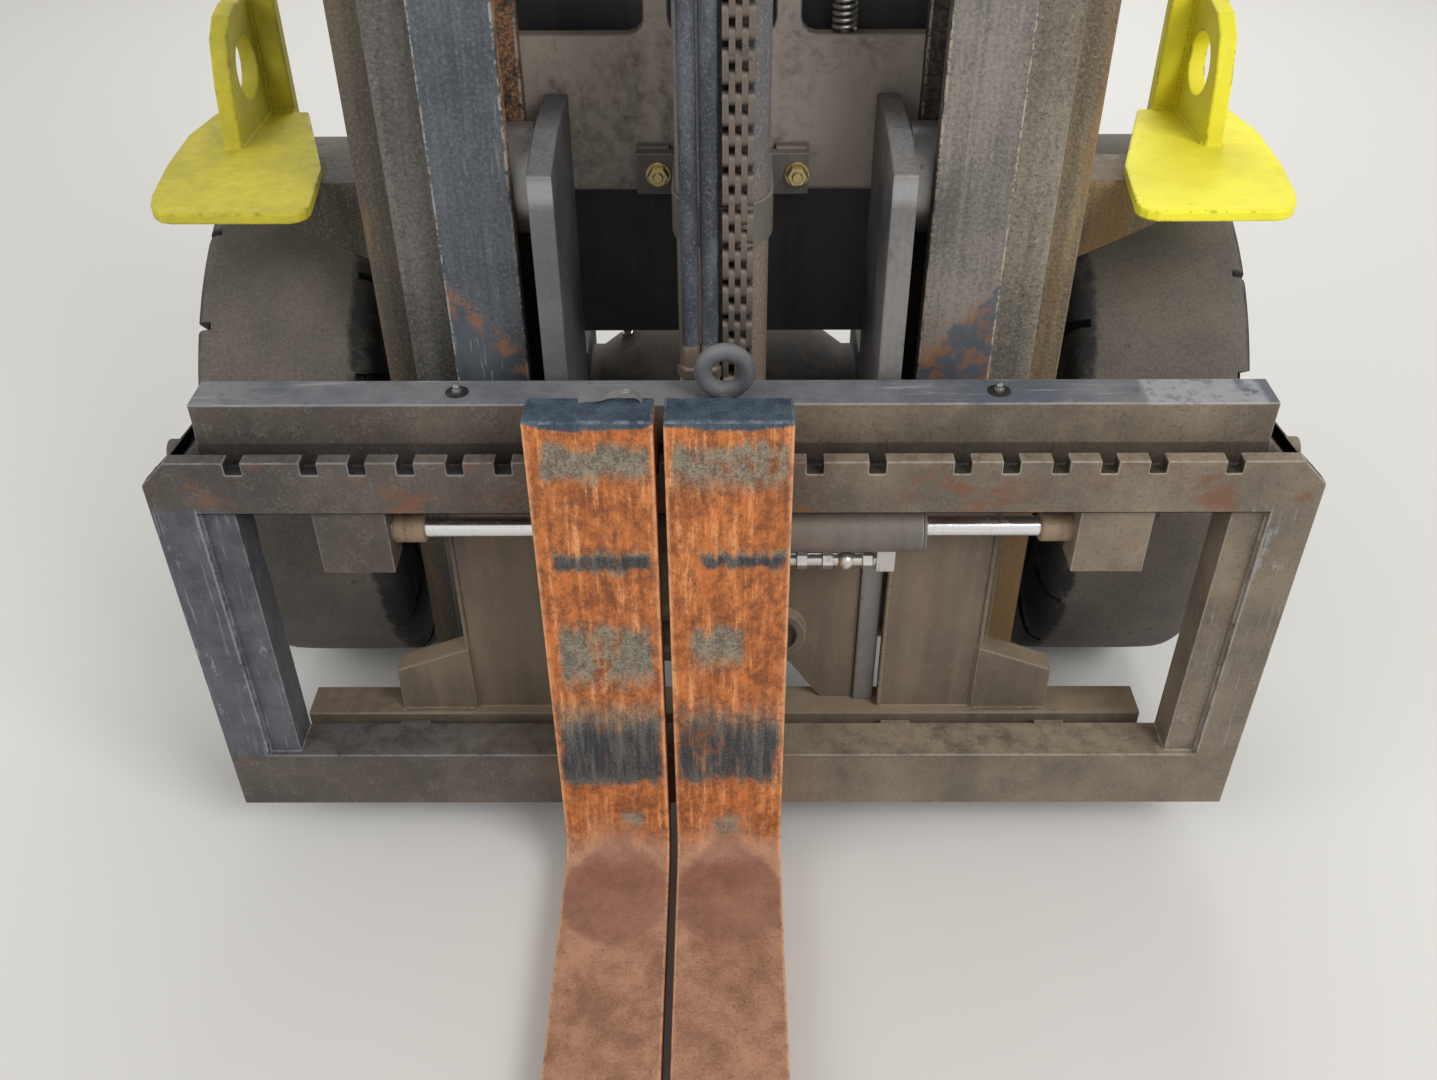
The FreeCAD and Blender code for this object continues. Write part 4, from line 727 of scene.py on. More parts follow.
# %% Dress the frame's nodes
def dress(name, faces, edges=None, width=0.0):
    """Gives a node its finish, and rounds its edges where a width is given."""
    thing = nodes[name]
    thing.data.materials.clear()
    thing.data.materials.append(faces)
    if width:
        thing.data.materials.append(edges or faces)
        weld = thing.modifiers.new("Weld", "WELD")
        weld.merge_threshold = 0.00002
        flat = thing.modifiers.new("Flat", "DECIMATE")
        flat.decimate_type = "DISSOLVE"
        flat.angle_limit = math.radians(0.5)
        bevel = thing.modifiers.new("Bevel", "BEVEL")
        bevel.width = width
        bevel.segments = 2
        bevel.limit_method = "ANGLE"
        bevel.angle_limit = math.radians(40)
        bevel.material = 1
        bevel.use_clamp_overlap = False
        bevel.miter_outer = "MITER_ARC"
        even = thing.modifiers.new("Even", "WEIGHTED_NORMAL")
        even.keep_sharp = True
    return thing


# Columns: nodes, finish for faces and edges, width of the rounded edge in metres.
PLAIN = (
    (("shift_frame", "lower_hooks"), frame_paint, 0.0014),
    (("lifting_eye",), eye_paint, 0.0),
    (("carriage_frame", "centre_plate"), carriage_paint, 0.0018),
    (("inner_cross_plates", "chain_anchor_high", "crosshead"), mast_paint, 0.0018),
    # The middle and outer cross plates wear the mast paint painted darker, as shade.
    (("mid_cross_plates", "outer_cross_plates"), deep_paint, 0.0018),
    (("lifting_lug_left", "lifting_lug_right"), lug_yellow, 0.0025),
    (("axle_housing", "brake_plates"), axle_paint, 0.002),
    (("free_barrel",), (greasy_barrel, greasy_barrel), 0.0015),
    (("lift_barrels", "shift_cylinder"), barrel_paint, 0.0015),
    (("rim_left", "rim_right"), rim_paint, 0.0015),
)
for names, (faces, edges), width in PLAIN:
    for name in names:
        dress(name, faces, edges, width)
for side in ("left", "right"):
    dress("fork_" + side, *fork_finish[side], 0.0025)
    dress("fork_hooks_" + side, *fork_finish[side], 0.0015)
    dress("roller_cheek_" + side, cheek_steel, cheek_steel, 0.002)
    dress("inner_rail_" + side, *inner_rail_steel, 0.0025)
    dress("mid_rail_" + side, mid_rail_steel, mid_rail_steel, 0.0025)
    dress("outer_rail_" + side, outer_rail_steel, outer_rail_steel, 0.0025)
    dress("hub_" + side, hub_iron)
for name in ("carriage_rollers", "inner_rollers", "mid_rollers", "outer_rollers", "chain_sheave"):
    dress(name, roller_steel, roller_steel, 0.0012)
for name in ("free_rod", "lift_rods", "shift_rod"):
    dress(name, rod_chrome)
dress("cylinder_strap", *barrel_paint, 0.0008)
dress("shift_pipe", plated_steel, plated_steel, 0.0008)
print("dressed nodes", sum(1 for thing in nodes.values() if thing.data.materials))

# %% [markdown]
# ## Floor and light
# The part stands on a plain pale floor under soft lamps. The world is pale where the camera or
# a reflection sees it, and dimmer where it lights the part, so that nothing washes out.

# %% Floor, world and lamps
def pale_floor():
    finish = Finish("pale_floor", roughness=0.9)
    finish.shader.inputs["Base Color"].default_value = shade(214, 212, 208)
    bpy.ops.mesh.primitive_plane_add(size=30, location=(0, 0, -0.001))
    floor = bpy.context.object
    floor.name = "floor"
    floor.data.materials.append(finish.material)


def soft_lamp(name, place, size, power, target):
    lamp = bpy.data.lights.new(name, "AREA")
    lamp.size = size
    lamp.energy = power
    holder = bpy.data.objects.new(name, lamp)
    scene.collection.objects.link(holder)
    aim = (Vector(target) - Vector(place)).to_track_quat("-Z", "Y")
    holder.matrix_world = Matrix.Translation(place) @ aim.to_matrix().to_4x4()


pale_floor()
world = bpy.data.worlds.new("World")
scene.world = world
world.use_nodes = True
sky = Graph(world.node_tree)
path = world.node_tree.nodes.new("ShaderNodeLightPath")
seen = Value(sky, path.outputs["Is Camera Ray"]).most(Value(sky, path.outputs["Is Glossy Ray"]))
seen = seen.most(Value(sky, path.outputs["Is Transmission Ray"]))
backdrop = world.node_tree.nodes["Background"]
sky.feed(backdrop.inputs["Color"], shade(238, 238, 236))
sky.feed(backdrop.inputs["Strength"], 0.62 + seen * 0.3)
soft_lamp("Key", (3.2, -3.0, 4.2), 2.6, 190, (0, 0.2, 0.6))
soft_lamp("Fill", (-3.6, -2.2, 3.0), 3.0, 70, (0, 0.2, 0.6))
soft_lamp("Back", (0.5, 4.6, 3.4), 3.0, 110, (0, 0.4, 0.9))

# %% [markdown]
# ## Making a piece
# Every piece that is added is a mesh at the origin that rides on a body and takes one of the
# finishes made above. Small closed shapes come from an outline that is turned about an
# axis, or from rings of corners with a skin between them. Outlines are in millimetres.

# %% Pieces, turned shapes and plates
MM = 0.001


def piece(name, mesh, material, body, replaces=()):
    """Adds a mesh, or a list of (mesh, matrix) pairs, as a piece of the object."""
    if isinstance(mesh, list):
        mesh = merged(name, mesh)
    thing = bpy.data.objects.new(name, mesh)
    scene.collection.objects.link(thing)
    if material is not None:
        mesh.materials.clear()
        mesh.materials.append(material)
    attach(thing, body)
    if replaces:
        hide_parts(*replaces)
    return thing


def kept(name, shape, angle=None):
    """The mesh of a shape. With an angle its faces are smooth, and edges sharper than that are kept."""
    if angle is not None:
        bmesh.ops.recalc_face_normals(shape, faces=shape.faces)
        for face in shape.faces:
            face.smooth = True
        for edge in shape.edges:
            edge.smooth = len(edge.link_faces) == 2 and edge.calc_face_angle(0) < math.radians(angle)
    mesh = bpy.data.meshes.new(name)
    shape.to_mesh(mesh)
    shape.free()
    return mesh


def skin(shape, rings, ends=True):
    """Faces between each ring of corners and the next, and one over each end."""
    for low, high in zip(rings, rings[1:]):
        for k in range(len(low)):
            shape.faces.new((low[k - 1], low[k], high[k], high[k - 1]))
    if ends:
        shape.faces.new(rings[0])
        shape.faces.new(rings[-1])


def turned(name, outline, count=24):
    """A closed shape from (radius, height) corners in millimetres, turned about Z."""
    shape = bmesh.new()
    rings = []
    for radius, height in outline:
        rings.append([shape.verts.new((radius * MM * math.cos(2 * math.pi * i / count),
                                       radius * MM * math.sin(2 * math.pi * i / count), height * MM))
                      for i in range(count if radius else 1)])
    for low, high in zip(rings, rings[1:]):
        for i in range(count):
            corners = [low[i % len(low)], low[(i + 1) % len(low)], high[(i + 1) % len(high)],
                       high[i % len(high)]]
            shape.faces.new(list(dict.fromkeys(corners)))
    for ring in (rings[0], rings[-1]):
        if len(ring) > 1:
            shape.faces.new(ring)
    return kept(name, shape, 35)


def merged(name, parts, angle=None):
    """One mesh from several (mesh, matrix) pairs."""
    shape = bmesh.new()
    for part, matrix in parts:
        start = len(shape.verts)
        shape.from_mesh(part)
        shape.verts.ensure_lookup_table()
        bmesh.ops.transform(shape, matrix=matrix, verts=shape.verts[start:])
    return kept(name, shape, angle)


def upright(direction, place=(0, 0, 0)):
    """A matrix that turns Z along a direction and moves it to a place."""
    turn = Vector(direction).to_track_quat("Z", "Y").to_matrix().to_4x4()
    return Matrix.Translation(place) @ turn


# %% [markdown]
# ## Fasteners on spots
# Nuts and bolt heads repeat all over the part. One small tree puts a fastener on each point of a
# mesh and turns it to the point's own direction. The fastener is modelled once, and the points
# come from the frame.

# %% Hexagon fasteners
def hexagon(name, flats, height, washer, stud=0):
    """A nut or bolt head on a washer, standing on Z = 0, with a stud end above it if asked."""
    corner = flats / math.sqrt(3)
    outlines = [(((0, 0), (washer, 0), (washer, 1.8), (washer * 0.96, 2.4), (0, 2.4)), 20),
                (((0, 2), (corner * 0.93, 2), (corner, 3.5), (corner, height * 0.82),
                  (corner * 0.88, height), (0, height)), 6)]
    if stud:
        top = height + stud
        outlines.append((((0, height * 0.9), (flats * 0.28, height * 0.9), (flats * 0.28, top - 1),
                          (flats * 0.24, top), (0, top)), 12))
    parts = [(turned(name + "_part", outline, count), Matrix()) for outline, count in outlines]
    return bpy.data.objects.new(name, merged(name, parts, 25))


# %% Starting and ending a geometry tree
def start_tree(name, inputs):
    """A graph in a new tree, and the tree's inputs by name."""
    tree = bpy.data.node_groups.new(name, "GeometryNodeTree")
    for label, kind in inputs:
        tree.interface.new_socket(label, in_out="INPUT", socket_type="NodeSocket" + kind)
    tree.interface.new_socket("Made", in_out="OUTPUT", socket_type="NodeSocketGeometry")
    graph = Graph(tree)
    start = tree.nodes.new("NodeGroupInput")
    return graph, {socket.name: Value(graph, socket) for socket in start.outputs if socket.name}


def end_tree(graph, solid, material):
    """Gives the tree's last geometry its material and leads it out."""
    coated = graph.node("GeometryNodeSetMaterial", None, {"Geometry": solid, "Material": material})
    graph.feed(graph.tree.nodes.new("NodeGroupOutput").inputs[0], coated)
    return graph.tree


def points_along(graph, path, spacing):
    """Points along a path's edges at an even spacing, and the path's direction at each."""
    line = graph.node("GeometryNodeMeshToCurve", None, {"Mesh": path})
    points = graph.tree.nodes.new("GeometryNodeCurveToPoints")
    points.mode = "LENGTH"
    graph.feed(points.inputs["Curve"], line)
    graph.feed(points.inputs["Length"], spacing)
    return Value(graph, points.outputs["Points"]), Value(graph, points.outputs["Tangent"])


# %% The tree that sets fasteners on spots
def fastener_tree():
    graph, given = start_tree("Fasteners on spots", (
        ("Spots", "Geometry"), ("Fastener", "Object"), ("Size", "Float"), ("Finish", "Material")))
    shape = graph.node("GeometryNodeObjectInfo", None, {"Object": given["Fastener"]}, "Geometry")
    facing = graph.node("GeometryNodeInputNamedAttribute", {"data_type": "FLOAT_VECTOR"}, {"Name": "facing"})
    turn = graph.node("FunctionNodeAlignRotationToVector", {"axis": "Z"}, {"Vector": facing})
    put = graph.node("GeometryNodeInstanceOnPoints", None, {
        "Points": given["Spots"], "Instance": shape, "Rotation": turn, "Scale": given["Size"]})
    solid = graph.node("GeometryNodeRealizeInstances", None, {"Geometry": put})
    return end_tree(graph, solid, given["Finish"])


FASTENERS = fastener_tree()


# %% Running a tree and keeping its mesh
def grow(name, carrier, tree, values):
    """Runs a tree on a carrier with the named values, and gives the mesh that comes out."""
    holder = bpy.data.objects.new(name + "_carrier", carrier)
    scene.collection.objects.link(holder)
    modifier = holder.modifiers.new("Grow", "NODES")
    modifier.node_group = tree
    labels = {item.name: item.identifier for item in tree.interface.items_tree if item.in_out == "INPUT"}
    for label, value in values.items():
        modifier[labels[label]] = value
    bpy.context.view_layer.update()
    ready = holder.evaluated_get(bpy.context.evaluated_depsgraph_get())
    mesh = bpy.data.meshes.new_from_object(ready)
    mesh.name = name
    bpy.data.objects.remove(holder)
    return mesh


def set_on(name, spots, fastener, material, body, size=1.0, replaces=()):
    """Puts a fastener on each (place, direction) spot, as one piece."""
    carrier = bpy.data.meshes.new(name + "_spots")
    carrier.from_pydata([place for place, _ in spots], [], [])
    facing = carrier.attributes.new("facing", "FLOAT_VECTOR", "POINT")
    for item, (_, direction) in zip(facing.data, spots):
        item.vector = Vector(direction).normalized()
    mesh = grow(name, carrier, FASTENERS, {"Fastener": fastener, "Size": size, "Finish": material})
    return piece(name, mesh, None, body, replaces)


# %% [markdown]
# ## Wheel nuts, hub bolts and strap bolts
# Eight nuts hold each wheel on its studs. The hub's cap has a ring of small bolts. The strap
# round the free lift barrel is held by two gold plated bolts, which stand out in the picture.

# %% Fasteners of the wheels and strap
NUT_REACH = 0.014
BOLT_CIRCLE = 0.056
STRAP_BOLTS_X = (-0.069, 0.080)


def ring_of(count, centre, radius, axis, start=0.0):
    """Spots on a circle about a line along X or Y, all facing along it."""
    spots = []
    for i in range(count):
        angle = math.radians(start) + 2 * math.pi * i / count
        if axis.x:
            offset = Vector((0, radius * math.cos(angle), radius * math.sin(angle)))
        else:
            offset = Vector((radius * math.cos(angle), 0, radius * math.sin(angle)))
        spots.append((centre + offset, axis))
    return spots


wheel_nut = hexagon("wheel_nut", 27, 16, 15.5, 9)
small_bolt = hexagon("small_bolt", 13, 7, 8)
strap_bolt = hexagon("strap_bolt", 20.5, 10, 13.8, 3.5)
for side, sign in (("left", -1), ("right", 1)):
    out = Vector((sign, 0, 0))
    nuts_low, nuts_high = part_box("wheel_nuts_" + side)
    seat = nuts_low.x if sign > 0 else nuts_high.x
    circle = (nuts_high.z - nuts_low.z) / 2 - NUT_REACH
    set_on("wheel_nuts_detailed_" + side, ring_of(8, Vector((seat, AXLE.y, AXLE.z)), circle, out), wheel_nut,
           nut_steel, "wheel_" + side, replaces=("wheel_nuts_" + side,))
    hub_low, hub_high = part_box("hub_" + side)
    face = (hub_high.x if sign > 0 else hub_low.x) - sign * 0.018
    set_on("hub_bolts_" + side, ring_of(8, Vector((face, AXLE.y, AXLE.z)), BOLT_CIRCLE, out, 22.5),
           small_bolt, nut_steel, "wheel_" + side, 0.8)
strap_low, strap_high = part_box("cylinder_strap")
strap_spots = [(Vector((x, strap_high.y - 0.014, (strap_low.z + strap_high.z) / 2)), (0, -1, 0))
               for x in STRAP_BOLTS_X]
set_on("strap_bolts", strap_spots, strap_bolt, zinc_steel, "inner_mast")
print("fasteners set")

# %% [markdown]
# ## Leaf chain
# The lifting chain is a leaf chain: thin plates laid in pairs, three pairs against two, and held
# by pins at every pitch of 19.05 mm. Between the ends of one link's plates and the next one's a
# dark gap is left, so rows of three gaps and of two take turns. Two kinds of link are modelled
# once, and a tree lays them in turn along a path, with their pins across it.

# %% Two kinds of link
PITCH = 0.01905
PLATE = 0.0029
LINK_RADIUS = 0.0069


def link(name, slots):
    """Plates side by side across X, each from pin to pin along Z, with the pin at the upper end."""
    shape = bmesh.new()
    around = 8
    for slot in slots:
        low = slot * (PLATE + 0.0001) - PLATE / 2
        outline = []
        for end in (1, -1):
            for i in range(around + 1):
                angle = math.pi * i / around
                outline.append((end * LINK_RADIUS * math.cos(angle),
                                end * (PITCH / 2 + (LINK_RADIUS + 0.0003) * math.sin(angle))))
        near = [shape.verts.new((low, y, z)) for y, z in outline]
        far = [shape.verts.new((low + PLATE, y, z)) for y, z in outline]
        shape.faces.new(near)
        shape.faces.new(list(reversed(far)))
        for i in range(len(near)):
            shape.faces.new((near[i], near[i - 1], far[i - 1], far[i]))
    width = 30.6
    pin = turned(name + "_pin", ((0, 0), (2.6, 0), (3, 0.6), (3, width - 0.6), (2.6, width), (0, width)), 10)
    place = Matrix.Translation((-width / 2 * MM, 0, PITCH / 2)) @ Matrix.Rotation(math.pi / 2, 4, "Y")
    return bpy.data.objects.new(name, merged(name,
                                             [(kept(name + "_plates", shape), Matrix()), (pin, place)],
                                             35))


link_three = link("link_three", (-4.5, -3.5, -0.5, 0.5, 3.5, 4.5))
link_two = link("link_two", (-2.5, -1.5, 1.5, 2.5))


# %% The tree that lays links along a path
def chain_tree():
    graph, given = start_tree("Links along a path", (
        ("Path", "Geometry"), ("Even link", "Object"), ("Odd link", "Object"), ("Pitch", "Float"),
        ("Finish", "Material")))
    points, tangent = points_along(graph, given["Path"], given["Pitch"])
    turn = graph.node("FunctionNodeAxesToRotation", {"primary_axis": "Z", "secondary_axis": "X"},
                      {"Primary Axis": tangent, "Secondary Axis": (1, 0, 0)})
    index = graph.node("GeometryNodeInputIndex")
    odd = graph.node("ShaderNodeMath", {"operation": "MODULO"}, {0: index, 1: 2.0})
    laid = graph.tree.nodes.new("GeometryNodeJoinGeometry")
    for label, chosen in (("Even link", 1.0 - odd), ("Odd link", odd)):
        shape = graph.node("GeometryNodeObjectInfo", None, {"Object": given[label]}, "Geometry")
        put = graph.node("GeometryNodeInstanceOnPoints", None, {
            "Points": points, "Selection": chosen, "Instance": shape, "Rotation": turn})
        graph.feed(laid.inputs[0], put)
    solid = graph.node("GeometryNodeRealizeInstances", None, {"Geometry": Value(graph, laid.outputs[0])})
    return end_tree(graph, solid, given["Finish"])


CHAIN = chain_tree()


# %% Front run and the part over the sheave
def path_mesh(name, points):
    """Points joined in turn by edges."""
    mesh = bpy.data.meshes.new(name)
    mesh.from_pydata(points, [(i, i + 1) for i in range(len(points) - 1)], [])
    return mesh


def over_sheave(x, radius, tail):
    """A path from the sheave's front over its top and down behind it."""
    points = []
    for i in range(41):
        angle = math.pi - math.pi * i / 40
        points.append(Vector((x, SHEAVE.y + radius * math.cos(angle), SHEAVE.z + radius * math.sin(angle))))
    points.append(Vector((x, SHEAVE.y + radius, tail)))
    return points


chain_x = (chain_low.x + chain_high.x) / 2
chain_y = (chain_low.y + chain_high.y) / 2
CHAIN_RADIUS = SHEAVE.y - chain_y
tail_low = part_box("chain_over_sheave")[0]
links = {"Even link": link_three, "Odd link": link_two, "Pitch": PITCH, "Finish": chain_steel}
front_path = path_mesh("front_path", [Vector((chain_x, chain_y, chain_low.z + PITCH / 2)),
                                      Vector((chain_x, chain_y, chain_high.z - PITCH / 2))])
front_chain = piece("chain_links_front", grow("chain_links_front", front_path, CHAIN, links), None,
                    "carriage", ("chain_run",))
back_path = path_mesh("back_path", over_sheave(chain_x, CHAIN_RADIUS, tail_low.z + PITCH))
back_chain = piece("chain_links_back", grow("chain_links_back", back_path, CHAIN, links), None, "crosshead",
                   ("chain_over_sheave",))
print("chain faces", len(front_chain.data.polygons))

# %% [markdown]
# The front run gets shorter as the carriage rises, because the chain goes over the sheave, which
# climbs half as fast. Here the share of the run that is left at full free lift is worked out, and
# the share of its links, which keeps a small gap below the first link on the sheave so that the two
# wouldn't cross.

# %% What is left of the front run at full free lift
FREE_LIFT = next(joint["range_m"][1] for joint in frame["joints"] if joint["name"] == "free_lift")
run_length = chain_high.z - chain_low.z
run_left = (run_length - FREE_LIFT / 2) / run_length
links_top = max(corner.co.z for corner in front_chain.data.vertices)
links_foot = min(corner.co.z for corner in back_chain.data.vertices if corner.co.y < SHEAVE.y)
LINK_GAP = 0.001
links_left = (links_foot - FREE_LIFT / 2 - chain_low.z - LINK_GAP) / (links_top - chain_low.z)
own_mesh(front_chain)
print("share of the run left at the top", round(run_left, 3), "of its links", round(links_left, 3))

# %% [markdown]
# ## Hoses
# Two hoses feed the side shift cylinder and follow the chain over the same sheave. A round tube
# along a line of points makes each, and a hexagon crimp ends it at the carriage.

# %% Hoses and their end fittings
HOSE_RADIUS = 0.0088
CRIMP_REACH = 0.030


def tube(name, points, radius, count=14, side_way=Vector((1, 0, 0))):
    """A closed round tube along points that bend gently. Side way is across the run."""
    shape = bmesh.new()
    rings = []
    for i, point in enumerate(points):
        before = points[max(i - 1, 0)]
        after = points[min(i + 1, len(points) - 1)]
        forward = (Vector(after) - Vector(before)).normalized()
        across = side_way - forward * side_way.dot(forward)
        if across.length < 0.1:
            across = Vector((0, 1, 0)) - forward * forward.y
        across.normalize()
        third = forward.cross(across)
        rings.append([shape.verts.new(Vector(point) + radius * (math.cos(2 * math.pi * k / count) * across
                                                                + math.sin(2 * math.pi * k / count) * third))
                      for k in range(count)])
    skin(shape, rings)
    return kept(name, shape, 35)


run_low, run_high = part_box("hose_runs")
front_hoses = []
back_hoses = []
crimps = []
crimp = turned("crimp", ((0, 0), (11.8, 0), (11.8, 12), (10.4, 13.5), (10.4, 34), (9.2, 37), (0, 37)), 12)
crimp_nut = turned("crimp_nut", ((0, 0), (13.5, 0), (14.5, 1), (14.5, 11), (13.5, 12), (0, 12)), 6)
for x in (run_low.x + 0.009, run_high.x - 0.009):
    line = [Vector((x, chain_y, run_low.z + CRIMP_REACH)), Vector((x, chain_y, run_high.z))]
    front_hoses.append((tube("hose_front", line, HOSE_RADIUS), Matrix()))
    back_hoses.append((tube("hose_back", over_sheave(x, CHAIN_RADIUS, tail_low.z), HOSE_RADIUS), Matrix()))
    foot = Matrix.Translation((x, chain_y, run_low.z))
    crimps += [(crimp_nut, foot), (crimp, foot)]
hose_piece = piece("hoses_front", front_hoses, hose_rubber, "carriage", ("hose_runs",))
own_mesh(hose_piece)
piece("hoses_back", back_hoses, hose_rubber, "crosshead", ("hoses_over_sheave",))
piece("hose_crimps", crimps, nut_steel, "carriage")

# %% [markdown]
# ## Tyres
# The tyres are worn almost smooth. What is left of the tread is a narrow cut at each shoulder,
# which opens into a wider notch down the side, so the side looks like a ring of blocks. A grid
# bent round the axle holds all of it: one direction follows the section and the other goes
# round. The columns of the grid spread apart as a notch widens, so its walls stay crisp, and
# they shift by half a block across the tread, because the two shoulders take turns.

# %% Tyre surface
# Distance from the wheel's middle plane and radius, from bead to crown, in millimetres.
SECTION = ((84, 193.2), (93.5, 203), (98.5, 211), (101, 211.2), (103, 220), (106.2, 234), (107.8, 248),
           (108.8, 260), (106.2, 261.8), (106.4, 269), (108.8, 270.5), (108.9, 280), (108.7, 288),
           (108.6, 291), (108.4, 303), (107.4, 315), (105.6, 327), (103, 337), (99, 344), (94, 348.5),
           (89, 350.8), (85.5, 351.6), (83.5, 352), (70, 352.9), (45, 353.4), (20, 353.5))
CUTS = 18
CUT_ANGLE = 360 / CUTS
# A cut's depth in the tread and a notch's depth in the wall, in metres. Half the angle of a cut
# at the shoulder, how much wider it gets down the wall, and the angle its own walls take, in degrees.
CUT_DEPTH = 0.017
NOTCH_DEPTH = 0.011
CUT_HALF = 0.72
NOTCH_MORE = 1.3
WALL_ANGLE = 0.10
SHOULDER = 0.3485
PLAIN_COLUMNS = 7


def grow_between(value, low, high):
    """0 below low, 1 above high, and straight between."""
    return min(max((value - low) / (high - low), 0.0), 1.0)


def column_offsets(half):
    """Angles from the middle of a cut to the middle of the next, and how deep each column is."""
    places = [(0.0, 1.0), (half - WALL_ANGLE, 1.0), (half + WALL_ANGLE, 0.0)]
    first = half + WALL_ANGLE
    span = CUT_ANGLE - 2 * first
    places += [(first + span * i / (PLAIN_COLUMNS + 1), 0.0) for i in range(1, PLAIN_COLUMNS + 1)]
    places += [(CUT_ANGLE - first, 0.0), (CUT_ANGLE - half + WALL_ANGLE, 1.0)]
    return places


def tyre(name, side, sign):
    low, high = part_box("tyre_" + side)
    middle = (low.x + high.x) / 2
    half = [(x * MM, radius * MM) for x, radius in SECTION]
    section = [(-x, radius) for x, radius in half] + half[::-1]
    shape = bmesh.new()
    rings = []
    for block in range(CUTS):
        for column in range(PLAIN_COLUMNS + 5):
            ring = []
            for x, radius in section:
                down_side = grow_between(SHOULDER - radius, 0.0, 0.05)
                offset, cut = column_offsets(CUT_HALF + NOTCH_MORE * down_side)[column]
                shift = 0.25 * CUT_ANGLE * sign * min(max(x / 0.06, -1), 1)
                turn = math.radians(block * CUT_ANGLE + offset + shift)
                tread = grow_between(abs(x), 0.0835, 0.0855) * grow_between(radius, 0.3375, 0.3440)
                wall = grow_between(radius, 0.2880, 0.2910) * grow_between(abs(x), 0.0890, 0.0990)
                reach = radius - CUT_DEPTH * cut * tread
                hand = 1 if x > 0 else -1
                place = Vector((middle + sign * (x - hand * NOTCH_DEPTH * cut * wall),
                                AXLE.y + reach * math.sin(turn), AXLE.z + reach * math.cos(turn)))
                ring.append(shape.verts.new(place))
            rings.append(ring)
    skin(shape, [rings[-1]] + rings, False)
    return piece(name, kept(name, shape, 32), tyre_rubber, "wheel_" + side, ("tyre_" + side,))


for side, sign in (("left", -1), ("right", 1)):
    made = tyre("tyre_tread_" + side, side, sign)
    print(made.name, "faces", len(made.data.polygons))

# %% [markdown]
# ## Welds
# Plates are joined by fillet welds, which show as small overlapping ripples. A tree walks along
# each seam and sets down flattened beads with slightly random sizes. The seams are given as
# pairs of ends, taken from the corners of the frame's boxes.

# %% The tree that lays a weld
def weld_tree():
    graph, given = start_tree("Weld along a seam", (
        ("Seam", "Geometry"), ("Spacing", "Float"), ("Bead", "Float"), ("Finish", "Material")))
    points, tangent = points_along(graph, given["Seam"], given["Spacing"])
    turn = graph.node("FunctionNodeAlignRotationToVector", {"axis": "Z"}, {"Vector": tangent})
    bead = graph.node("GeometryNodeMeshIcoSphere", None, {"Radius": given["Bead"], "Subdivisions": 2})
    size = graph.node("FunctionNodeRandomValue", {"data_type": "FLOAT_VECTOR"},
                      {"Min": (0.85, 0.85, 0.5), "Max": (1.15, 1.15, 0.75), "Seed": 7})
    put = graph.node("GeometryNodeInstanceOnPoints", None, {
        "Points": points, "Instance": bead, "Rotation": turn, "Scale": size})
    solid = graph.node("GeometryNodeRealizeInstances", None, {"Geometry": put})
    rounded = graph.node("GeometryNodeSetShadeSmooth", None, {"Geometry": solid})
    return end_tree(graph, rounded, given["Finish"])


WELD = weld_tree()


def weld(name, seams, body, slot, material, bead=0.004):
    """Lays a weld along each pair of ends, as one piece."""
    points = [end for seam in seams for end in seam]
    mesh = bpy.data.meshes.new(name + "_seams")
    mesh.from_pydata(points, [(i, i + 1) for i in range(0, len(points), 2)], [])
    grown = grow(name, mesh, WELD, {"Spacing": bead * 0.8, "Bead": bead, "Finish": material})
    return piece(name, grown, None, body)


# %% Seams of the side shifter
POST_WIDE = 0.048
POST_FRONT = FACE + 0.0075
POST_REAR = FACE + 0.0575
POST_OUT = (bar_high.x - bar_low.x) / 2
seams = []
for sign in (-1, 1):
    outer = SHIFT + sign * (POST_OUT - 0.002)
    inner = SHIFT + sign * (POST_OUT - POST_WIDE)
    for foot, top in ((0.185, 0.245), (0.300, 0.360), (0.415, 0.475)):
        seams.append(((inner, POST_FRONT, foot), (inner, POST_FRONT, top)))
    seams.append(((inner, POST_REAR, POST_FOOT + 0.002), (outer, POST_REAR, POST_FOOT + 0.002)))
weld("shifter_welds", seams, "side_shifter", "frame_paint", frame_paint[0], 0.0035)

# %% [markdown]
# ## Small fittings
# Two grease nipples stand on the beam, each on a thin black disc that is painted shade, a spring
# latch lies on the left fork's top, and a row of plated unions joins the pipe under the side shift
# barrel. The rod's ends are brown steel collars, and the big barrel has a gland at each end.

# %% Nipples, collars, glands and unions
BEAM_MIDDLE = FACE + 0.064
NIPPLES_X = (-0.272, 0.282)
nipple = turned("nipple", ((0, 0), (5.2, 0), (5.2, 3.5), (3, 4.5), (3, 6), (4, 7.5), (3.2, 9.5), (1.6, 10.5),
                           (0, 10.5)), 12)
# A thin black disc under each nipple is painted shade, as of a hollow round it.
shade_disc = turned("nipple_shade_disc", ((0, 0), (12, 0), (12, 0.6), (9.5, 1.2), (0, 1.2)), 20)
spots = [Matrix.Translation((x, BEAM_MIDDLE, BEAM_TOP)) for x in NIPPLES_X]
piece("grease_nipples", [(nipple, spot) for spot in spots], roller_steel, "side_shifter")
piece("nipple_seats", [(shade_disc, spot) for spot in spots], black_grease, "side_shifter")
rod_low, rod_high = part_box("shift_rod")
ROD = (rod_low + rod_high) / 2


def on_rod(shape, first, second):
    """A shape twice on the rod's line: at the first place it points right, at the second left."""
    return [(shape, upright((way, 0, 0), (x, ROD.y, ROD.z))) for way, x in ((1, first), (-1, second))]


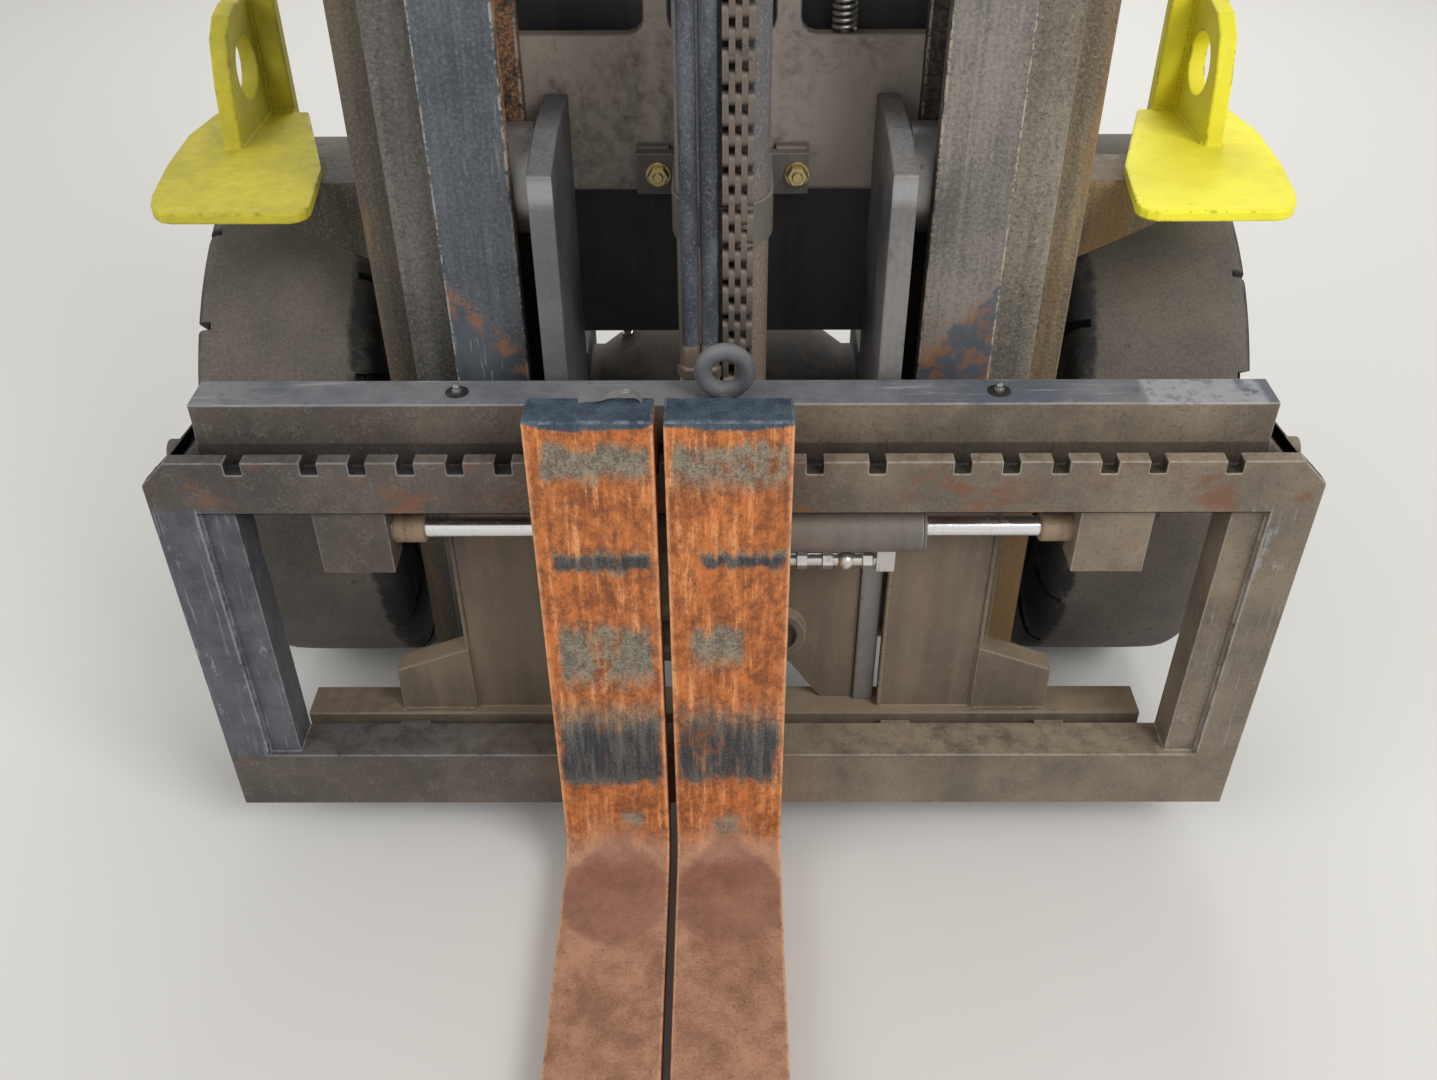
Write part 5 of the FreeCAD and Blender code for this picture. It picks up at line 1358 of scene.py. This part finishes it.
collar = turned("collar", ((0, 0), (15.2, 0), (16.7, 1.5), (16.7, 10), (16.3, 10.6), (16.3, 13), (16.7, 13.6),
                           (16.7, 32.2), (15.4, 33.7), (0, 33.7)), 32)
piece("rod_collars", on_rod(collar, rod_low.x, rod_high.x), rod_end_steel, "side_shifter")
ends_low, ends_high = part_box("shift_cylinder")
gland = turned("gland", ((11.8, 0), (26.2, 0), (27.2, 1.2), (27.2, 3.5), (11.8, 3.5)), 36)
piece("shift_glands", on_rod(gland, ends_high.x, ends_low.x), barrel_paint[0], "carriage")
PIPE_Y = ROD.y + 0.004
PIPE_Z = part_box("shift_pipe")[0].z + 0.008
union = turned("union", ((0, 0), (9.5, 0), (10.5, 1), (10.5, 11), (9.5, 12), (0, 12)), 6)
ball = turned("banjo", ((0, 0), (6, 0.5), (10.5, 5), (11.8, 10), (10.5, 15), (6, 19.5), (0, 20)), 18)
unions = [(shape, upright((1, 0, 0), (x, PIPE_Y, PIPE_Z)))
          for shape, x in ((union, 0.080), (union, 0.108), (union, 0.152), (ball, 0.124))]
piece("pipe_unions", unions, plated_steel, "carriage")

# %% The latch on the left fork
def bent_strip(name, line, low, high, thick):
    """A strip that follows a line of (x, z) points, between two places along Y."""
    shape = bmesh.new()
    rings = []
    for i, (x, z) in enumerate(line):
        before = line[max(i - 1, 0)]
        after = line[min(i + 1, len(line) - 1)]
        along = Vector((after[0] - before[0], after[1] - before[1])).normalized()
        up = Vector((-along.y, along.x)) * thick
        rings.append([shape.verts.new((x, low, z)), shape.verts.new((x, high, z)),
                      shape.verts.new((x + up.x, high, z + up.y)),
                      shape.verts.new((x + up.x, low, z + up.y))])
    skin(shape, rings)
    return kept(name, shape, 30)


# The latch's line on the fork's top, from the fork's left edge, in millimetres.
LATCH = ((52, 0.2), (60, 0.8), (68, 1.2), (76, 3), (84, 5.8), (92, 8.2), (99, 9.2), (105, 7.8), (110, 4.2),
         (113, 0.4))
fork_low, fork_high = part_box("fork_left")
latch_line = [(fork_low.x + across * MM, fork_high.z + rise * MM) for across, rise in LATCH]
strip = bent_strip("fork_latch", latch_line, fork_high.y - 0.011, fork_high.y - 0.002, 0.0018)
piece("fork_latch", strip, plated_steel, "fork_left")
print("latch faces", len(strip.polygons))

# %% [markdown]
# ## The mast's back
# From behind one sees how the stages are joined: cross plates welded to the rails, a gland and
# an oil port on each lift cylinder, nuts on the rods' ends, bushes in the tilt eyes, and the
# axle with its plugs, breather and ring of cover bolts.

# %% Welds of the cross plates
# Feet and tops of the cross plates of each stage, in metres.
PLATES = {"inner": ((0.195, 0.330), (0.752, 0.917), (1.350, 1.480), (2.010, 2.130)),
          "mid": ((0.200, 0.320), (0.560, 0.740), (1.180, 1.300), (1.970, 2.120)),
          "outer": ((0.185, 0.270), (0.820, 1.000), (1.320, 1.430), (1.840, 1.990))}
# Stage, body, where its seams start and end to each side, and paint.
# The middle and outer stages' welds take the mast paint painted darker, as shade.
STAGES = (("inner", "inner_mast", 0.214, 0.250, mast_paint), ("mid", "mid_mast", 0.268, 0.308, deep_paint),
          ("outer", "mast", 0.324, 0.371, deep_paint))
RAIL_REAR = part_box("inner_rail_right")[1].y
RAIL_STEP = 0.028
for step, (stage, body, near, far, paint) in enumerate(STAGES):
    rear = RAIL_REAR + step * RAIL_STEP + 0.001
    seams = [((sign * near, rear, level), (sign * far, rear, level))
             for plate in PLATES[stage] for sign in (-1, 1) for level in plate]
    weld(stage + "_plate_welds", seams, body, "mast_paint", paint[0], 0.0035)

# %% Welds of the lugs and carriage
PAD_TOP = 0.780
EYE_NEAR = 0.536
EYE_FAR = 0.556
for side, sign in (("left", -1), ("right", 1)):
    lug_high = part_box("lifting_lug_" + side)[1]
    rear = lug_high.y - 0.018
    seams = [((sign * x, FACE + 0.340, PAD_TOP), (sign * x, rear - 0.002, PAD_TOP))
             for x in (EYE_NEAR, EYE_FAR)]
    seams.append(((sign * 0.510, rear, PAD_TOP), (sign * 0.534, rear, PAD_TOP)))
    seams.append(((sign * EYE_NEAR, rear, PAD_TOP + 0.004), (sign * EYE_NEAR, rear, lug_high.z - 0.006)))
    weld("lug_welds_" + side, seams, "mast", "lug_yellow", lug_yellow[0], 0.004)
# Ends of the carriage's seams on one side: how far out, how far behind the bars' front, height.
CARRIAGE_SEAMS = (((0.192, 0.084, 0.166), (0.192, 0.084, 0.494)),
                  ((0.310, 0.079, 0.162), (0.394, 0.079, 0.162)),
                  ((0.308, 0.084, 0.264), (0.308, 0.084, 0.494)))
seams = [[(sign * x, FACE + behind, z) for x, behind, z in seam] for sign in (-1, 1)
         for seam in CARRIAGE_SEAMS]
weld("carriage_welds", seams, "carriage", "frame_paint", carriage_paint[0], 0.003)

# %% Lift cylinder fittings
lift_low, lift_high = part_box("lift_barrels")
ROD_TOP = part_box("lift_rods")[1].z + 0.040
LIFT_X = lift_high.x - 0.032
LIFT_Y = (lift_low.y + lift_high.y) / 2
PORT_Y = LIFT_Y + 0.030
PORT_LEVELS = (lift_low.z + 0.055, lift_high.z - 0.085)
ring_nut = turned("ring_nut", ((23.5, 0), (30, 0), (31.2, 1.5), (31.2, 10.5), (30, 12), (23.5, 12)), 32)
port = turned("port", ((0, 0), (13, 0), (13, 10), (11, 11.5), (11, 14.5), (9.5, 14.5), (9.5, 24),
                       (0, 24)), 18)
rod_nut = hexagon("rod_nut", 30, 14, 20, 8)
both = (-LIFT_X, LIFT_X)
glands = [(ring_nut, Matrix.Translation((x, LIFT_Y, lift_high.z))) for x in both]
ports = [(port, upright((0, 1, 0), (x, PORT_Y, z))) for x in both for z in PORT_LEVELS]
piece("lift_glands", glands, nut_steel, "mast")
piece("lift_ports", ports, plated_steel, "mast")
set_on("rod_nuts", [(Vector((x, LIFT_Y, ROD_TOP)), (0, 0, 1)) for x in both], rod_nut, nut_steel, "mid_mast")

# %% Buffer spring of the inner stage
# On the waist plate's top edge, beside the right pillar, stands a short spring with its bolt.
SPRING = Vector((0.1256, RAIL_REAR + 0.008, PLATES["inner"][1][1]))
COIL_RADIUS = 0.0112
COIL_RISE = 0.0066
WIRE_RADIUS = 0.0022
COILS = 6
STEPS = 24
coil = []
for i in range(COILS * STEPS + 1):
    angle = 2 * math.pi * i / STEPS
    coil.append(SPRING + Vector((COIL_RADIUS * math.cos(angle), COIL_RADIUS * math.sin(angle),
                                 WIRE_RADIUS + 0.0001 + COIL_RISE * i / STEPS)))
wire = tube("buffer_spring", coil, WIRE_RADIUS, 8, Vector((0, 0, 1)))
piece("buffer_spring", wire, plated_steel, "inner_mast")
sleeve = turned("sleeve", ((0, 0), (6, 0), (6, 43.5), (13.5, 43.5), (13.5, 47), (11.5, 49), (11.5, 105),
                           (10, 107), (6.2, 107), (6.2, 125), (0, 125)), 24)
piece("buffer_bolt", [(sleeve, Matrix.Translation(SPRING))], nut_steel, "inner_mast")

# %% Tilt eye bushes
TILT_EYE = Vector((0.270, FACE + 0.470, 0.960))
EYE_HALF = 0.015
bush = turned("bush", ((16.1, 0), (22.5, 0), (22.5, 1.8), (21.5, 2.6), (16.1, 2.6)), 28)
bushes = [(bush, upright((way, 0, 0), (sign * TILT_EYE.x + way * EYE_HALF, TILT_EYE.y, TILT_EYE.z)))
          for sign in (-1, 1) for way in (-1, 1)]
piece("tilt_bushes", bushes, roller_steel, "mast")

# %% Axle fittings
CASING_REAR = AXLE + Vector((0, 0.190, 0))
COVER_CIRCLE = 0.103
BRAKE_X = 0.380
BRAKE_CIRCLE = 0.135
cover_bolt = hexagon("cover_bolt", 17, 9, 11.5)
cover_spots = ring_of(12, CASING_REAR, COVER_CIRCLE, Vector((0, 1, 0)), 15)
for sign in (-1, 1):
    cover_spots += ring_of(6, AXLE + Vector((sign * BRAKE_X, 0, 0)), BRAKE_CIRCLE, Vector((-sign, 0, 0)), 30)
set_on("axle_bolts", cover_spots, cover_bolt, nut_steel, "axle")
plug = turned("plug", ((0, 0), (19, 0), (19, 3), (12.5, 4.5), (12.5, 10), (11, 11.5), (0, 11.5)), 8)
breather = turned("breather", ((0, 0), (8, 0), (8, 8), (5.5, 9), (5.5, 18), (11, 19), (11, 28), (8.5, 31),
                               (0, 31.5)), 18)
drain = upright((0, -0.3, -1), AXLE + Vector((0, 0.070, -0.1195)))
filler = upright((0.6, 0.8, 0), AXLE + Vector((0.060, 0.210, 0)))
vent = upright((0, 0, 1), AXLE + Vector((-0.130, 0, 0.096)))
piece("axle_plugs", [(plug, drain), (plug, filler), (breather, vent)], plated_steel, "axle")
